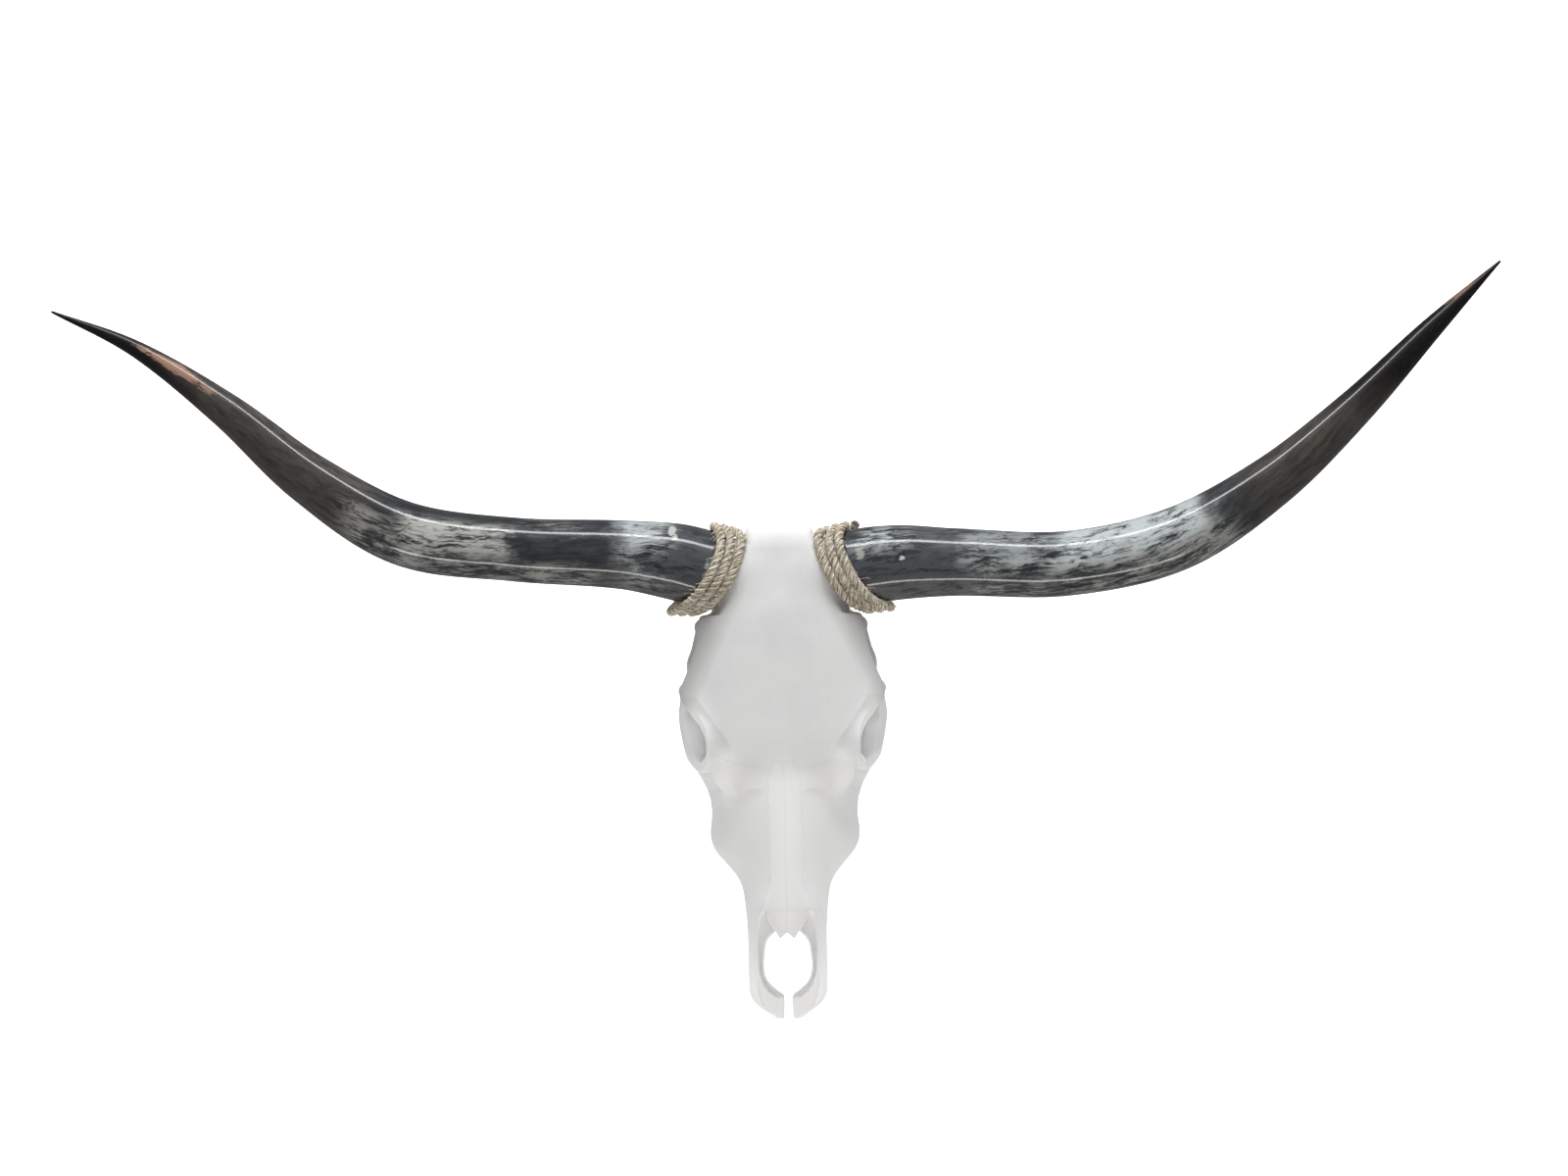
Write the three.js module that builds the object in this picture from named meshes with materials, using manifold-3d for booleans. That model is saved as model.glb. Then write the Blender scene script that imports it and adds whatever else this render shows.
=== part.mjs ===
// Longhorn steer skull at life size, resting face up on its cheek teeth and on the two
// processes beside its occipital condyles.  Millimetres, +Z up.
//
// The skull has its own frame.  x runs to the animal's left, s runs from the poll to the
// nose, and z stands out of the forehead, which is the plane z = 0.  The world's y is -s,
// and the whole skull is tilted to rest with its nose low.
import * as THREE from 'three';
import { MarchingCubes } from 'three/addons/objects/MarchingCubes.js';
import { mergeVertices } from 'three/addons/utils/BufferGeometryUtils.js';
import Module from 'manifold-3d';

// ---------------------------------------------------------------- driving dimensions
const REST_PITCH = THREE.MathUtils.degToRad(8);
const REST_DEPTH = 178;          // forehead plane to the floor, at REST_STATION
const REST_STATION = 50;
const SUTURE_GAP = 0.5;          // cut between two bones
const FIT_GAP = 0.3;             // between a horn sheath and its bony core

const CELL = 4;                  // grid step for the bone surface
const GRID = 148;                // cells along each edge of the grid's cube
const BONE_TRIANGLES = 4050;

const ORBIT = { centre: [97, 226, -45], radius: 40, rim: 6, turn: 10, lift: 19 };
const TEETH = [
  { from: 255, to: 283, half: 10.5 },     // third molar
  { from: 283, to: 310, half: 11.5 },     // second molar
  { from: 310, to: 334, half: 11.5 },     // first molar
  { from: 334, to: 354, half: 10 },       // fourth premolar
  { from: 354, to: 374, half: 9 },        // third premolar
  { from: 374, to: 391, half: 7.5 },      // second premolar
];

// Each horn's centreline as x, y, z and the radius there, from inside the rope to the tip,
// and the rope's rings: their centre, and how far their plane leans to the poll and forwards.
const HORNS = {
  left: {
    side: 1,
    ring: { centre: [88, -39, -38], lean: 26, forward: 11 },
    stations: [
      [48, -52, -39, 43], [83, -44, -38, 43.5], [133, -39, -37, 42.2], [196, -40, -32, 38.2],
      [319, -44, -14, 36.4], [435, -20, 12, 35.5], [534, 39, 39, 28.8], [621, 116, 62, 20.6],
      [702, 199, 75, 12], [776, 269, 77, 1.5],
    ],
  },
  right: {
    side: -1,
    ring: { centre: [-87, -38, -38], lean: 24, forward: 12 },
    stations: [
      [-48, -50, -39, 43], [-84, -42, -38, 44], [-117, -33, -37, 43.3], [-177, -24, -32, 38.8],
      [-296, -16, -15, 35.8], [-411, 3, 11, 35.8], [-507, 63, 39, 28.7], [-591, 138, 62, 19.4],
      [-682, 204, 75, 9.4], [-772, 246, 77, 1.5],
    ],
  },
};
const HORN_RINGS = 24;
const HORN_SIDES = 14;

// Seen from the side, each turn leans one way in front of the horn and the other way behind it.
const ROPE = { radius: 4.8, turns: 3, pitch: 10.7, front: 25, back: -8, steps: 20, sides: 8, clearance: 4 };

const BONE = { color: 0xd3d0ca, roughness: 0.62, metalness: 0 };
const SHEATH = { color: 0x4a4a4e, roughness: 0.22, metalness: 0 };
const TWINE = { color: 0xb59a6e, roughness: 0.92, metalness: 0 };

// ------------------------------------------------------------------- distance helpers
const { abs, hypot, max, min, sqrt, sin, cos, PI } = Math;
const { clamp, lerp, smoothstep, degToRad } = THREE.MathUtils;

/** Union of two distances with a fillet of size k. */
function blend(a, b, k) {
  const h = clamp(0.5 + (b - a) / (2 * k), 0, 1);
  return lerp(b, a, h) - k * h * (1 - h);
}

/** What is in a but outside b, with the edge rounded by k. */
const carve = (a, b, k) => -blend(-a, b, k);

/** A smooth line through [station, value] pairs, held level past both ends. */
function line(...points) {
  const slope = points.map((_, i) => {
    const [s0, v0] = points[max(i - 1, 0)];
    const [s1, v1] = points[min(i + 1, points.length - 1)];
    return (v1 - v0) / (s1 - s0);
  });
  return (s) => {
    if (s <= points[0][0]) return points[0][1];
    const i = points.findIndex(([station]) => station >= s);
    if (i < 0) return points.at(-1)[1];
    const [s0, v0] = points[i - 1];
    const [s1, v1] = points[i];
    const run = s1 - s0;
    const t = (s - s0) / run;
    const ease = t * t * (3 - 2 * t);
    return lerp(v0, v1, ease) + run * t * (1 - t) * ((1 - t) * slope[i - 1] - t * slope[i]);
  };
}

function ellipsoid([x, s, z], [cx, cs, cz], [rx, rs, rz]) {
  const u = (x - cx) / rx;
  const v = (s - cs) / rs;
  const w = (z - cz) / rz;
  const reach = hypot(u, v, w);
  return reach * (reach - 1) / max(hypot(u / rx, v / rs, w / rz), 1e-6);
}

/** A rod from a to b, its radius running from ra to rb, flattened sideways by the ratio flat. */
function rod([x, s, z], a, b, ra, rb, flat = 1) {
  const d = [b[0] - a[0], b[1] - a[1], b[2] - a[2]];
  const p = [x - a[0], s - a[1], z - a[2]];
  const length2 = d[0] ** 2 + d[1] ** 2 + d[2] ** 2;
  const t = clamp((p[0] * d[0] + p[1] * d[1] + p[2] * d[2]) / length2, 0, 1);
  const across = hypot((p[0] - t * d[0]) / flat, p[1] - t * d[1], p[2] - t * d[2]);
  return (across - lerp(ra, rb, t)) * flat;
}

/** Distance to a rounded outline, mirrored about x = 0, given as its right-hand corners. */
function section(x, z, corners, round) {
  let inside = false;
  let nearest = Infinity;
  for (let i = 1; i < corners.length; i += 1) {
    const [ax, az] = corners[i - 1];
    const [bx, bz] = corners[i];
    const ex = bx - ax;
    const ez = bz - az;
    const t = clamp(((x - ax) * ex + (z - az) * ez) / (ex * ex + ez * ez), 0, 1);
    nearest = min(nearest, hypot(x - ax - t * ex, z - az - t * ez));
    const crosses = (az > z) !== (bz > z);
    if (crosses && x < ax + ex * (z - az) / ez) inside = !inside;
  }
  return (inside ? -nearest : nearest) - round;
}

// ------------------------------------------------------------------- the bones' lines
// Half-widths (x) and heights (z) along the skull, each a smooth line over s.
const plateTop = line(
  [-14, -16], [-2, -3], [30, 2], [110, 3], [180, 0], [235, -2], [262, -8], [290, -24], [310, -40],
);
const plateHalf = line(
  [-14, 36], [-4, 42], [8, 46], [20, 54], [60, 71], [80, 79], [92, 88], [100, 91.5],
  [113, 94], [130, 96.5], [154, 104.5], [174, 112.5], [186, 113], [213, 95.5], [240, 78.5],
  [262, 80], [282, 76], [300, 60],
);
const plateDepth = line([0, 46], [60, 40], [120, 30], [180, 20], [240, 22], [300, 24]);

const caseHalf = line([20, 44], [60, 56], [110, 52], [160, 42], [230, 42], [275, 46]);
const caseFloor = line([20, -112], [60, -128], [120, -122], [180, -106], [240, -110], [275, -112]);

const ridgeTop = line([240, -14], [262, -9.5], [285, -8], [335, -12], [400, -20], [435, -27], [460, -33]);
const nasalHalf = line(
  [250, 12], [281, 18.9], [335, 18.9], [395, 18], [418, 23], [428, 23.5], [440, 19.5], [450, 13],
  [460, 7],
);
const shoulderX = line(
  [240, 66], [281, 58], [335, 48], [378, 41], [427, 38], [480, 38], [530, 36], [543, 28],
  [551, 20], [557, 12],
);
const shoulderZ = line([240, -18], [281, -24], [335, -33], [378, -43], [427, -54], [545, -90]);
const crestX = line(
  [240, 80], [262, 88], [291, 85.5], [320, 83], [345, 85], [362, 80], [378, 67], [392, 56],
  [406, 50], [428, 47], [455, 45.2], [515, 45], [532, 43], [543, 35], [551, 24], [557, 15],
);
const crestZ = line([240, -64], [300, -74], [360, -80], [392, -80], [455, -82], [545, -94]);
const alveolusX = line(
  [240, 50], [262, 60], [335, 62], [374, 54], [405, 42], [455, 36], [530, 39], [543, 30],
  [551, 20], [557, 12],
);
const palateZ = line([240, -112], [300, -116], [385, -108], [455, -101], [545, -101]);
const toothX = line([255, 51], [300, 53], [340, 50], [390, 41]);
const restPlane = (s) => -REST_DEPTH + (s - REST_STATION) * Math.tan(REST_PITCH);

const noseHalf = line([385, 18], [426, 28], [440, 33], [500, 33.5], [512, 30], [524, 22], [531, 14]);
const noseWallTop = line([424, -30], [433, -46], [455, -59], [495, -69], [536, -82], [557, -86]);
const noseRoof = line([400, -60], [420, -46], [427, -38], [434, -22], [440, 10]);
const noseGap = line(
  [446, 4], [456, 13], [468, 23], [485, 26.5], [504, 27], [516, 22.5], [526, 12], [531, 5.4],
  [560, 5.4],
);

// --------------------------------------------------------------------------- the skull
/** Outside this leaning plane, bent less steeply to the poll, the plate gives way to the core. */
const NECK = { x: 70, s: 46.5, z: -47, lean: 25, forward: 25, bend: 0.9, end: 94 };

function neck([x, s, z]) {
  const lean = degToRad(NECK.lean);
  const back = max(s - NECK.s, (s - NECK.s) * NECK.bend);
  const outward = (x - NECK.x) * cos(lean) - back * sin(lean);
  const beyond = outward * cos(degToRad(NECK.forward)) + (z - NECK.z) * sin(degToRad(NECK.forward));
  return max(-beyond, s - NECK.end);
}

function frontalPlate([x, s, z]) {
  const round = 5;
  const half = plateHalf(s) - round;
  const top = plateTop(s);
  const outline = [
    [0, top - round], [half - 16, top - 2 - round], [half, top - 9 - round],
    [half - 4, top - 15 - round], [half * 0.6, top - plateDepth(s)], [0, top - plateDepth(s)],
  ];
  const plate = carve(section(x, z, outline, round), s + 8, 12);
  return max(carve(plate, neck([x, s, z]), 5), s - 300);
}

function braincase([x, s, z]) {
  const round = 16;
  const half = caseHalf(s) - round;
  const floor = caseFloor(s) + round;
  const outline = [[0, -38], [half, -38], [half, -70], [half - 6, floor + 14], [12, floor], [0, floor]];
  return max(section(x, z, outline, round), 22 - s, s - 280);
}

function faceBlock([x, s, z]) {
  const round = 7;
  const top = ridgeTop(s);
  const base = palateZ(s) + round;
  const outline = [
    [0, top - round], [nasalHalf(s) - 5, top - 2 - round],
    [shoulderX(s) - round, shoulderZ(s) - round], [crestX(s) - round, crestZ(s)],
    [alveolusX(s) - round, base], [0, base],
  ];
  return max(section(x, z, outline, round), 240 - s, s - 557);
}

/** The orbit: the lower part of its rim, the cup of bone behind it and the socket in the cup. */
function orbit([x, s, z]) {
  const yaw = degToRad(ORBIT.turn);
  const rise = degToRad(ORBIT.lift);
  const p = [x - ORBIT.centre[0], s - ORBIT.centre[1], z - ORBIT.centre[2]];
  const along = (p[0] * cos(yaw) + p[1] * sin(yaw)) * cos(rise) + p[2] * sin(rise);
  const around = sqrt(max(p[0] ** 2 + p[1] ** 2 + p[2] ** 2 - along ** 2, 0));
  const rim = hypot(around - ORBIT.radius, along) - ORBIT.rim;
  const cup = (hypot(around / 43, (along + 10) / 48) - 1) * 43;
  const socket = (hypot(around / 34.5, along / 46) - 1) * 34.5;
  return { rim: max(rim, z + 28), cup: max(cup, along - 2), socket };
}

/** The bar of bone outside the temple: cheek bone, arch, and its root on the braincase. */
function cheekArch(p) {
  const front = rod(p, [102, 250, -78], [108, 205, -88], 11, 10, 0.75);
  const middle = rod(p, [108, 205, -88], [100, 150, -80], 10, 9, 0.65);
  const back = rod(p, [100, 150, -80], [89, 108, -80], 9, 10, 0.75);
  const root = rod(p, [89, 108, -80], [56, 96, -88], 10, 17);
  const cheek = rod(p, [100, 246, -76], [82, 290, -82], 14, 8, 0.75);
  const bar = rod(p, [108, 178, -34], [108, 182, -82], 9, 8, 0.9);
  return min(blend(blend(front, middle, 8), back, 8), blend(blend(root, cheek, 4), bar, 6));
}

function occiput(p) {
  const plate = ellipsoid(p, [0, 44, -78], [58, 26, 56]);
  const condyle = ellipsoid(p, [27, 46, -131], [13, 17, 19]);
  const besideCondyle = rod(p, [49, 60, -118], [47, 50, -174], 14, 8, 0.85);
  return blend(blend(plate, condyle, 10), besideCondyle, 9);
}

function skullBase(p) {
  const bar = rod(p, [0, 60, -128], [0, 215, -104], 17, 12);
  const bulla = ellipsoid(p, [35, 90, -134], [10, 17, 15]);
  const pterygoid = rod(p, [25, 215, -104], [25, 262, -112], 22, 18, 0.25);
  return blend(blend(bar, bulla, 8), pterygoid, 6);
}

function cheekTeeth([x, s, z]) {
  let nearest = Infinity;
  for (const tooth of TEETH) {
    const middle = (tooth.to + tooth.from) / 2;
    const dx = abs(x - toothX(middle)) - tooth.half + 3;
    const ds = abs(s - middle) - (tooth.to - tooth.from) / 2 + 3.8;
    nearest = min(nearest, hypot(max(dx, 0), max(ds, 0)) + min(max(dx, ds), 0) - 3);
  }
  return max(nearest, z + 104);
}

/** The nasal bones, whose free ends overhang the nose opening. */
function nasalBones([x, s, z]) {
  const half = nasalHalf(s) - 3;
  const top = ridgeTop(s) - 3.2;
  const arch = [[0, top], [half * 0.6, top - 1.2], [half, top - 4], [half, top - 4.6], [0, top - 3]];
  const forkedEnd = s - 458 + abs(x - 8) * 1.1;
  return max(section(x, z, arch, 3.2), 300 - s, forkedEnd);
}

/**
 * The nose opening: the chamber under the nasal bones, whose walls lean in towards its floor,
 * and the gap between the premaxillae.
 */
function noseOpening([x, s, z]) {
  const sunk = clamp((noseWallTop(s) - z) / 40, 0, 1);
  const wall = (x - lerp(noseHalf(s), noseGap(s), sunk)) * 0.85;
  const chamber = max(wall, 390 - s, -88 - z, s - 531, z - noseRoof(s));
  const above = max(noseWallTop(s) - z, 424 - s);
  const through = max(x - noseGap(s), 446 - s);
  return min(chamber, above, through);
}

/** The bony core that carries a horn; the horn's own plane cuts it off under the rope. */
const hornCore = (p) => rod(p, [20, 50, -39], [130, 41, -38], 38, 42.5);

/** Distance from a point to the bone, in the skull's own frame. */
function skullDistance(x, s, z) {
  const p = [abs(x), s, z];
  const { rim, cup, socket } = orbit(p);
  let bone = blend(braincase(p), frontalPlate(p), 14);
  bone = blend(bone, hornCore(p), 12);
  bone = blend(bone, occiput(p), 12);
  bone = blend(bone, skullBase(p), 8);
  bone = blend(bone, faceBlock(p), 12);
  bone = blend(bone, cup, 8);
  bone = blend(bone, cheekArch(p), 8);
  bone = carve(bone, socket, 2.5);
  bone = blend(bone, rim, 6);
  bone = carve(bone, ellipsoid(p, [0, 28, -121], [16, 30, 15]), 3);
  bone = carve(bone, ellipsoid(p, [0, 320, -128], [32, 84, 17]), 5);
  bone = carve(bone, ellipsoid(p, [0, 238, -118], [17, 34, 26]), 4);
  bone = blend(bone, cheekTeeth(p), 2.5);
  bone = carve(bone, noseOpening(p), 2.5);
  bone = blend(bone, nasalBones(p), 1.5);
  return max(bone, restPlane(s) - 3 - z);
}

// --------------------------------------------------------------- surface of the bone
/** The bone's surface, taken from a marching-cubes mesh over a cube of GRID cells. */
function boneSurface() {
  const cubes = new MarchingCubes(GRID, new THREE.MeshStandardMaterial(), false, false, 300000);
  const low = [-GRID * CELL / 2, -20, -GRID * CELL / 2 - 80];
  cubes.isolation = 0;
  cubes.field.fill(-1);
  for (let k = 0; k < GRID; k += 1) {
    const z = low[2] + k * CELL;
    if (z < -190 || z > 20) continue;
    for (let j = 0; j < GRID; j += 1) {
      const s = low[1] + j * CELL;
      for (let i = 0; i < GRID; i += 1) {
        const x = low[0] + i * CELL;
        if (abs(x) > 170) continue;
        const depth = -skullDistance(x, s, z);
        cubes.field[(k * GRID + j) * GRID + i] = abs(depth) < 0.1 ? 0.1 : depth;
      }
    }
  }
  cubes.update();
  const corners = cubes.geometry.drawRange.count;
  const spots = cubes.geometry.getAttribute('position').array.slice(0, corners * 3);
  const half = GRID / 2;
  for (let i = 0; i < spots.length; i += 3) {
    spots[i] = low[0] + (spots[i] + 1) * half * CELL;
    spots[i + 1] = -(low[1] + (spots[i + 1] + 1) * half * CELL);
    spots[i + 2] = low[2] + (spots[i + 2] + 1) * half * CELL;
  }
  const geometry = new THREE.BufferGeometry();
  geometry.setAttribute('position', new THREE.BufferAttribute(spots, 3));
  return mergeVertices(geometry, 1e-3);
}

/** The sum of squared distances to planes, as the ten terms of a quadratic form. */
function planeForm(normal, offset) {
  const { x, y, z } = normal;
  return [x * x, x * y, x * z, x * offset, y * y, y * z, y * offset, z * z, z * offset, offset ** 2];
}

function formValue(q, { x, y, z }) {
  return q[0] * x * x + q[4] * y * y + q[7] * z * z + q[9]
    + 2 * (q[1] * x * y + q[2] * x * z + q[5] * y * z + q[3] * x + q[6] * y + q[8] * z);
}

/** Where the form is least, or null where that spot is not well defined. */
function formLowest(q) {
  const matrix = new THREE.Matrix3().set(q[0], q[1], q[2], q[1], q[4], q[5], q[2], q[5], q[7]);
  if (abs(matrix.determinant()) < 1e-3) return null;
  return new THREE.Vector3(-q[3], -q[6], -q[8]).applyMatrix3(matrix.invert());
}

/** Joins the ends of the cheapest edges, pass by pass, until few enough triangles are left. */
function simplify(geometry, wanted) {
  const at = geometry.getAttribute('position');
  const spots = Array.from({ length: at.count }, (_, i) => new THREE.Vector3().fromBufferAttribute(at, i));
  const triangle = new THREE.Triangle();
  const normal = new THREE.Vector3();
  const before = new THREE.Vector3();
  let faces = [];
  for (let i = 0; i < geometry.index.count; i += 3) {
    faces.push([geometry.index.getX(i), geometry.index.getX(i + 2), geometry.index.getX(i + 1)]);
  }
  const forms = spots.map(() => new Array(10).fill(0));
  for (const face of faces) {
    triangle.set(...face.map((v) => spots[v])).getNormal(normal);
    const form = planeForm(normal, -normal.dot(triangle.a));
    for (const v of face) form.forEach((term, i) => { forms[v][i] += term; });
  }

  while (faces.length > wanted) {
    const around = spots.map(() => []);
    faces.forEach((face, f) => face.forEach((v) => around[v].push(f)));
    const neighbours = (v) => new Set(around[v].flatMap((f) => faces[f]));
    const edges = [];
    for (const [a, b, c] of faces) {
      for (const [u, v] of [[a, b], [b, c], [c, a]]) {
        if (u > v) continue;
        const form = forms[u].map((term, i) => term + forms[v][i]);
        const middle = spots[u].clone().lerp(spots[v], 0.5);
        const length2 = spots[u].distanceToSquared(spots[v]);
        const choices = [middle, spots[u], spots[v]];
        const lowest = formLowest(form);
        if (lowest && lowest.distanceToSquared(middle) < length2) choices.push(lowest);
        const costs = choices.map((spot) => formValue(form, spot));
        const least = min(...costs);
        edges.push({ u, v, spot: choices[costs.indexOf(least)], cost: least + 2e-4 * length2 });
      }
    }
    edges.sort((one, other) => one.cost - other.cost);

    /** Whether every triangle that stays keeps facing its way when u and v meet at spot. */
    const staysOpen = (u, v, spot) => [...around[u], ...around[v]].every((f) => {
      const face = faces[f];
      if (face.includes(u) && face.includes(v)) return true;
      triangle.set(...face.map((w) => spots[w])).getNormal(before);
      triangle.set(...face.map((w) => (w === u || w === v ? spot : spots[w]))).getNormal(normal);
      return normal.dot(before) > 0.35 && triangle.getArea() > 0.4;
    });

    const busy = new Set();
    const joined = new Map();
    let left = (faces.length - wanted) / 2;
    for (const { u, v, spot } of edges.slice(0, edges.length / 2)) {
      if (left <= 0) break;
      if (busy.has(u) || busy.has(v)) continue;
      const nearU = neighbours(u);
      const nearV = neighbours(v);
      const shared = [...nearU].filter((w) => nearV.has(w)).length;
      if (shared !== 4 || !staysOpen(u, v, spot)) continue;
      for (const w of [...nearU, ...nearV]) busy.add(w);
      joined.set(v, u);
      spots[u] = spot.clone();
      forms[v].forEach((term, i) => { forms[u][i] += term; });
      left -= 1;
    }
    if (joined.size === 0) break;
    faces = faces.map((face) => face.map((v) => joined.get(v) ?? v))
      .filter(([a, b, c]) => a !== b && b !== c && c !== a);
  }
  const out = new THREE.BufferGeometry();
  const corners = faces.flat().flatMap((v) => spots[v].toArray());
  out.setAttribute('position', new THREE.Float32BufferAttribute(corners, 3));
  return out;
}

// --------------------------------------------------------------------- joins and cuts
const wasm = await Module();
wasm.setup();

function solid(geometry) {
  const bare = geometry.clone();
  bare.deleteAttribute('normal');
  bare.deleteAttribute('uv');
  const merged = mergeVertices(bare, 1e-4);
  return new wasm.Manifold(new wasm.Mesh({
    numProp: 3,
    vertProperties: new Float32Array(merged.getAttribute('position').array),
    triVerts: new Uint32Array(merged.index.array),
  }));
}

function named(name, body, look) {
  const { vertProperties, triVerts } = body.getMesh();
  const geometry = new THREE.BufferGeometry();
  geometry.setAttribute('position', new THREE.BufferAttribute(vertProperties, 3));
  geometry.setIndex(new THREE.BufferAttribute(triVerts, 1));
  geometry.computeVertexNormals();
  const mesh = new THREE.Mesh(geometry, new THREE.MeshStandardMaterial(look));
  mesh.name = name;
  return mesh;
}

/** An outline of [x, s] points seen from the front, extruded between two heights. */
function planPrism(points, bottom, top) {
  const shape = new THREE.Shape(points.map(([x, s]) => new THREE.Vector2(x, -s)));
  const geometry = new THREE.ExtrudeGeometry(shape, { depth: top - bottom, bevelEnabled: false });
  return solid(geometry.translate(0, 0, bottom));
}

/** An outline of [s, z] points seen from the side, extruded across the skull. */
function sidePrism(points, left, right) {
  const shape = new THREE.Shape(points.map(([s, z]) => new THREE.Vector2(-s, z)));
  const geometry = new THREE.ExtrudeGeometry(shape, { depth: right - left, bevelEnabled: false });
  const turn = new THREE.Matrix4().makeBasis(
    new THREE.Vector3(0, 1, 0),
    new THREE.Vector3(0, 0, 1),
    new THREE.Vector3(1, 0, 0),
  );
  return solid(geometry.applyMatrix4(turn).translate(left, 0, 0));
}

/** A block filling one side of a plane, from the given gap outwards. */
function halfSpace(centre, normal, gap) {
  const size = 1000;
  const block = new THREE.BoxGeometry(size, size, size).translate(0, 0, size / 2 + gap);
  const turn = new THREE.Quaternion().setFromUnitVectors(new THREE.Vector3(0, 0, 1), normal);
  return solid(block.applyQuaternion(turn).translate(...centre));
}

// ------------------------------------------------------------------------ bone by bone
/** One nasal bone's share of the skull, grown by the given margin on every side. */
function nasalRegion(side, grow) {
  const inner = SUTURE_GAP - grow;
  const outline = [
    [inner, 258 - grow], [10, 256 - grow], [16 + grow, 268 - grow], [19 + grow, 290],
    [19 + grow, 398], [27 + grow, 414], [27 + grow, 480], [inner, 480],
  ].map(([x, s]) => [side * x, s]);
  const plan = planPrism(side > 0 ? outline : outline.reverse(), -60, 30);
  const under = (s) => ridgeTop(s) - 9.5 - grow;
  const stations = [240, 300, 360, 410];
  const freeEnd = [[424, under(424) - 5], [480, under(480) - 8], [480, 30]];
  const profile = [[240, 30], ...stations.map((s) => [s, under(s)]), ...freeEnd];
  return plan.intersect(sidePrism(profile, -40, 40));
}

/** The cheek bone: the lower rim of the orbit, the bar's foot and the front of the arch. */
function cheekRegion(side, grow) {
  const outline = [
    [70 - grow, 286 + grow], [78 - grow, 252], [84 - grow, 225], [84 - grow, 152 - grow],
    [140, 138 - grow], [140, 300 + grow], [84 - grow, 300 + grow],
  ].map(([x, s]) => [side * x, s]);
  return planPrism(side > 0 ? outline : outline.reverse(), -130, -42 + grow);
}

/** One premaxilla: the front of the muzzle on its side, down to the tip. */
function premaxillaRegion(side, grow) {
  const profile = [[420 - grow, -20], [430 - grow, -62], [482 - grow, -112], [570, -112], [570, -20]];
  const inner = SUTURE_GAP - grow;
  return sidePrism(profile, side > 0 ? inner : -60, side > 0 ? 60 : -inner);
}

/** The face: everything in front of the sutures that cross the skull below the forehead. */
function faceRegion(grow) {
  const back = [[0, 262], [24, 264], [52, 258], [72, 250], [96, 241], [150, 238]];
  const mirrored = back.slice(1).reverse().map(([x, s]) => [-x, s]);
  const edge = [...mirrored, ...back].map(([x, s]) => [x, s - grow]);
  return planPrism([...edge, [150, 570], [-150, 570]].reverse(), -200, 40);
}

/** Each horn as its centreline and its radius over the distance along it. */
function hornShape(stations) {
  let reach = 0;
  const marks = stations.map(([x, y, z, radius], i) => {
    if (i) reach += hypot(x - stations[i - 1][0], y - stations[i - 1][1], z - stations[i - 1][2]);
    return { reach, x, y, z, radius };
  });
  const along = (key) => line(...marks.map((mark) => [mark.reach, mark[key]]));
  const [x, y, z, radius] = ['x', 'y', 'z', 'radius'].map(along);
  return { length: reach, spot: (l) => new THREE.Vector3(x(l), y(l), z(l)), radius };
}

/** The horn sheath: a cylinder's wall laid along the horn's centreline. */
function hornSolid(horn) {
  const shape = hornShape(horn.stations);
  const geometry = new THREE.CylinderGeometry(1, 1, 1, HORN_SIDES, HORN_RINGS);
  const at = geometry.getAttribute('position');
  const up = new THREE.Vector3(0, 0, 1);
  for (let i = 0; i < at.count; i += 1) {
    const share = 0.5 - at.getY(i);
    const l = shape.length * share;
    const centre = shape.spot(l);
    const ahead = shape.spot(min(l + 1, shape.length)).sub(shape.spot(max(l - 1, 0))).normalize();
    const across = new THREE.Vector3().crossVectors(up, ahead).normalize();
    const outward = new THREE.Vector3().crossVectors(ahead, across);
    const radius = shape.radius(l);
    const place = centre.addScaledVector(across, at.getX(i) * radius)
      .addScaledVector(outward, at.getZ(i) * radius);
    at.setXYZ(i, place.x, place.y, place.z);
  }
  return solid(geometry);
}

/** The direction out of the skull, square to the plane of a horn's rope rings. */
function ringNormal({ side, ring }) {
  const forward = degToRad(ring.forward);
  const lean = degToRad(ring.lean);
  return new THREE.Vector3(side * cos(lean) * cos(forward), sin(lean) * cos(forward), sin(forward));
}

/** Distance to the horn near its base, as a chain of rods. */
function hornBaseDistance(point, horn) {
  let nearest = Infinity;
  for (let i = 1; i < 4; i += 1) {
    const [a, b] = [horn.stations[i - 1], horn.stations[i]];
    nearest = min(nearest, rod(point, a.slice(0, 3), b.slice(0, 3), a[3], b[3]));
  }
  return nearest;
}

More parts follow.
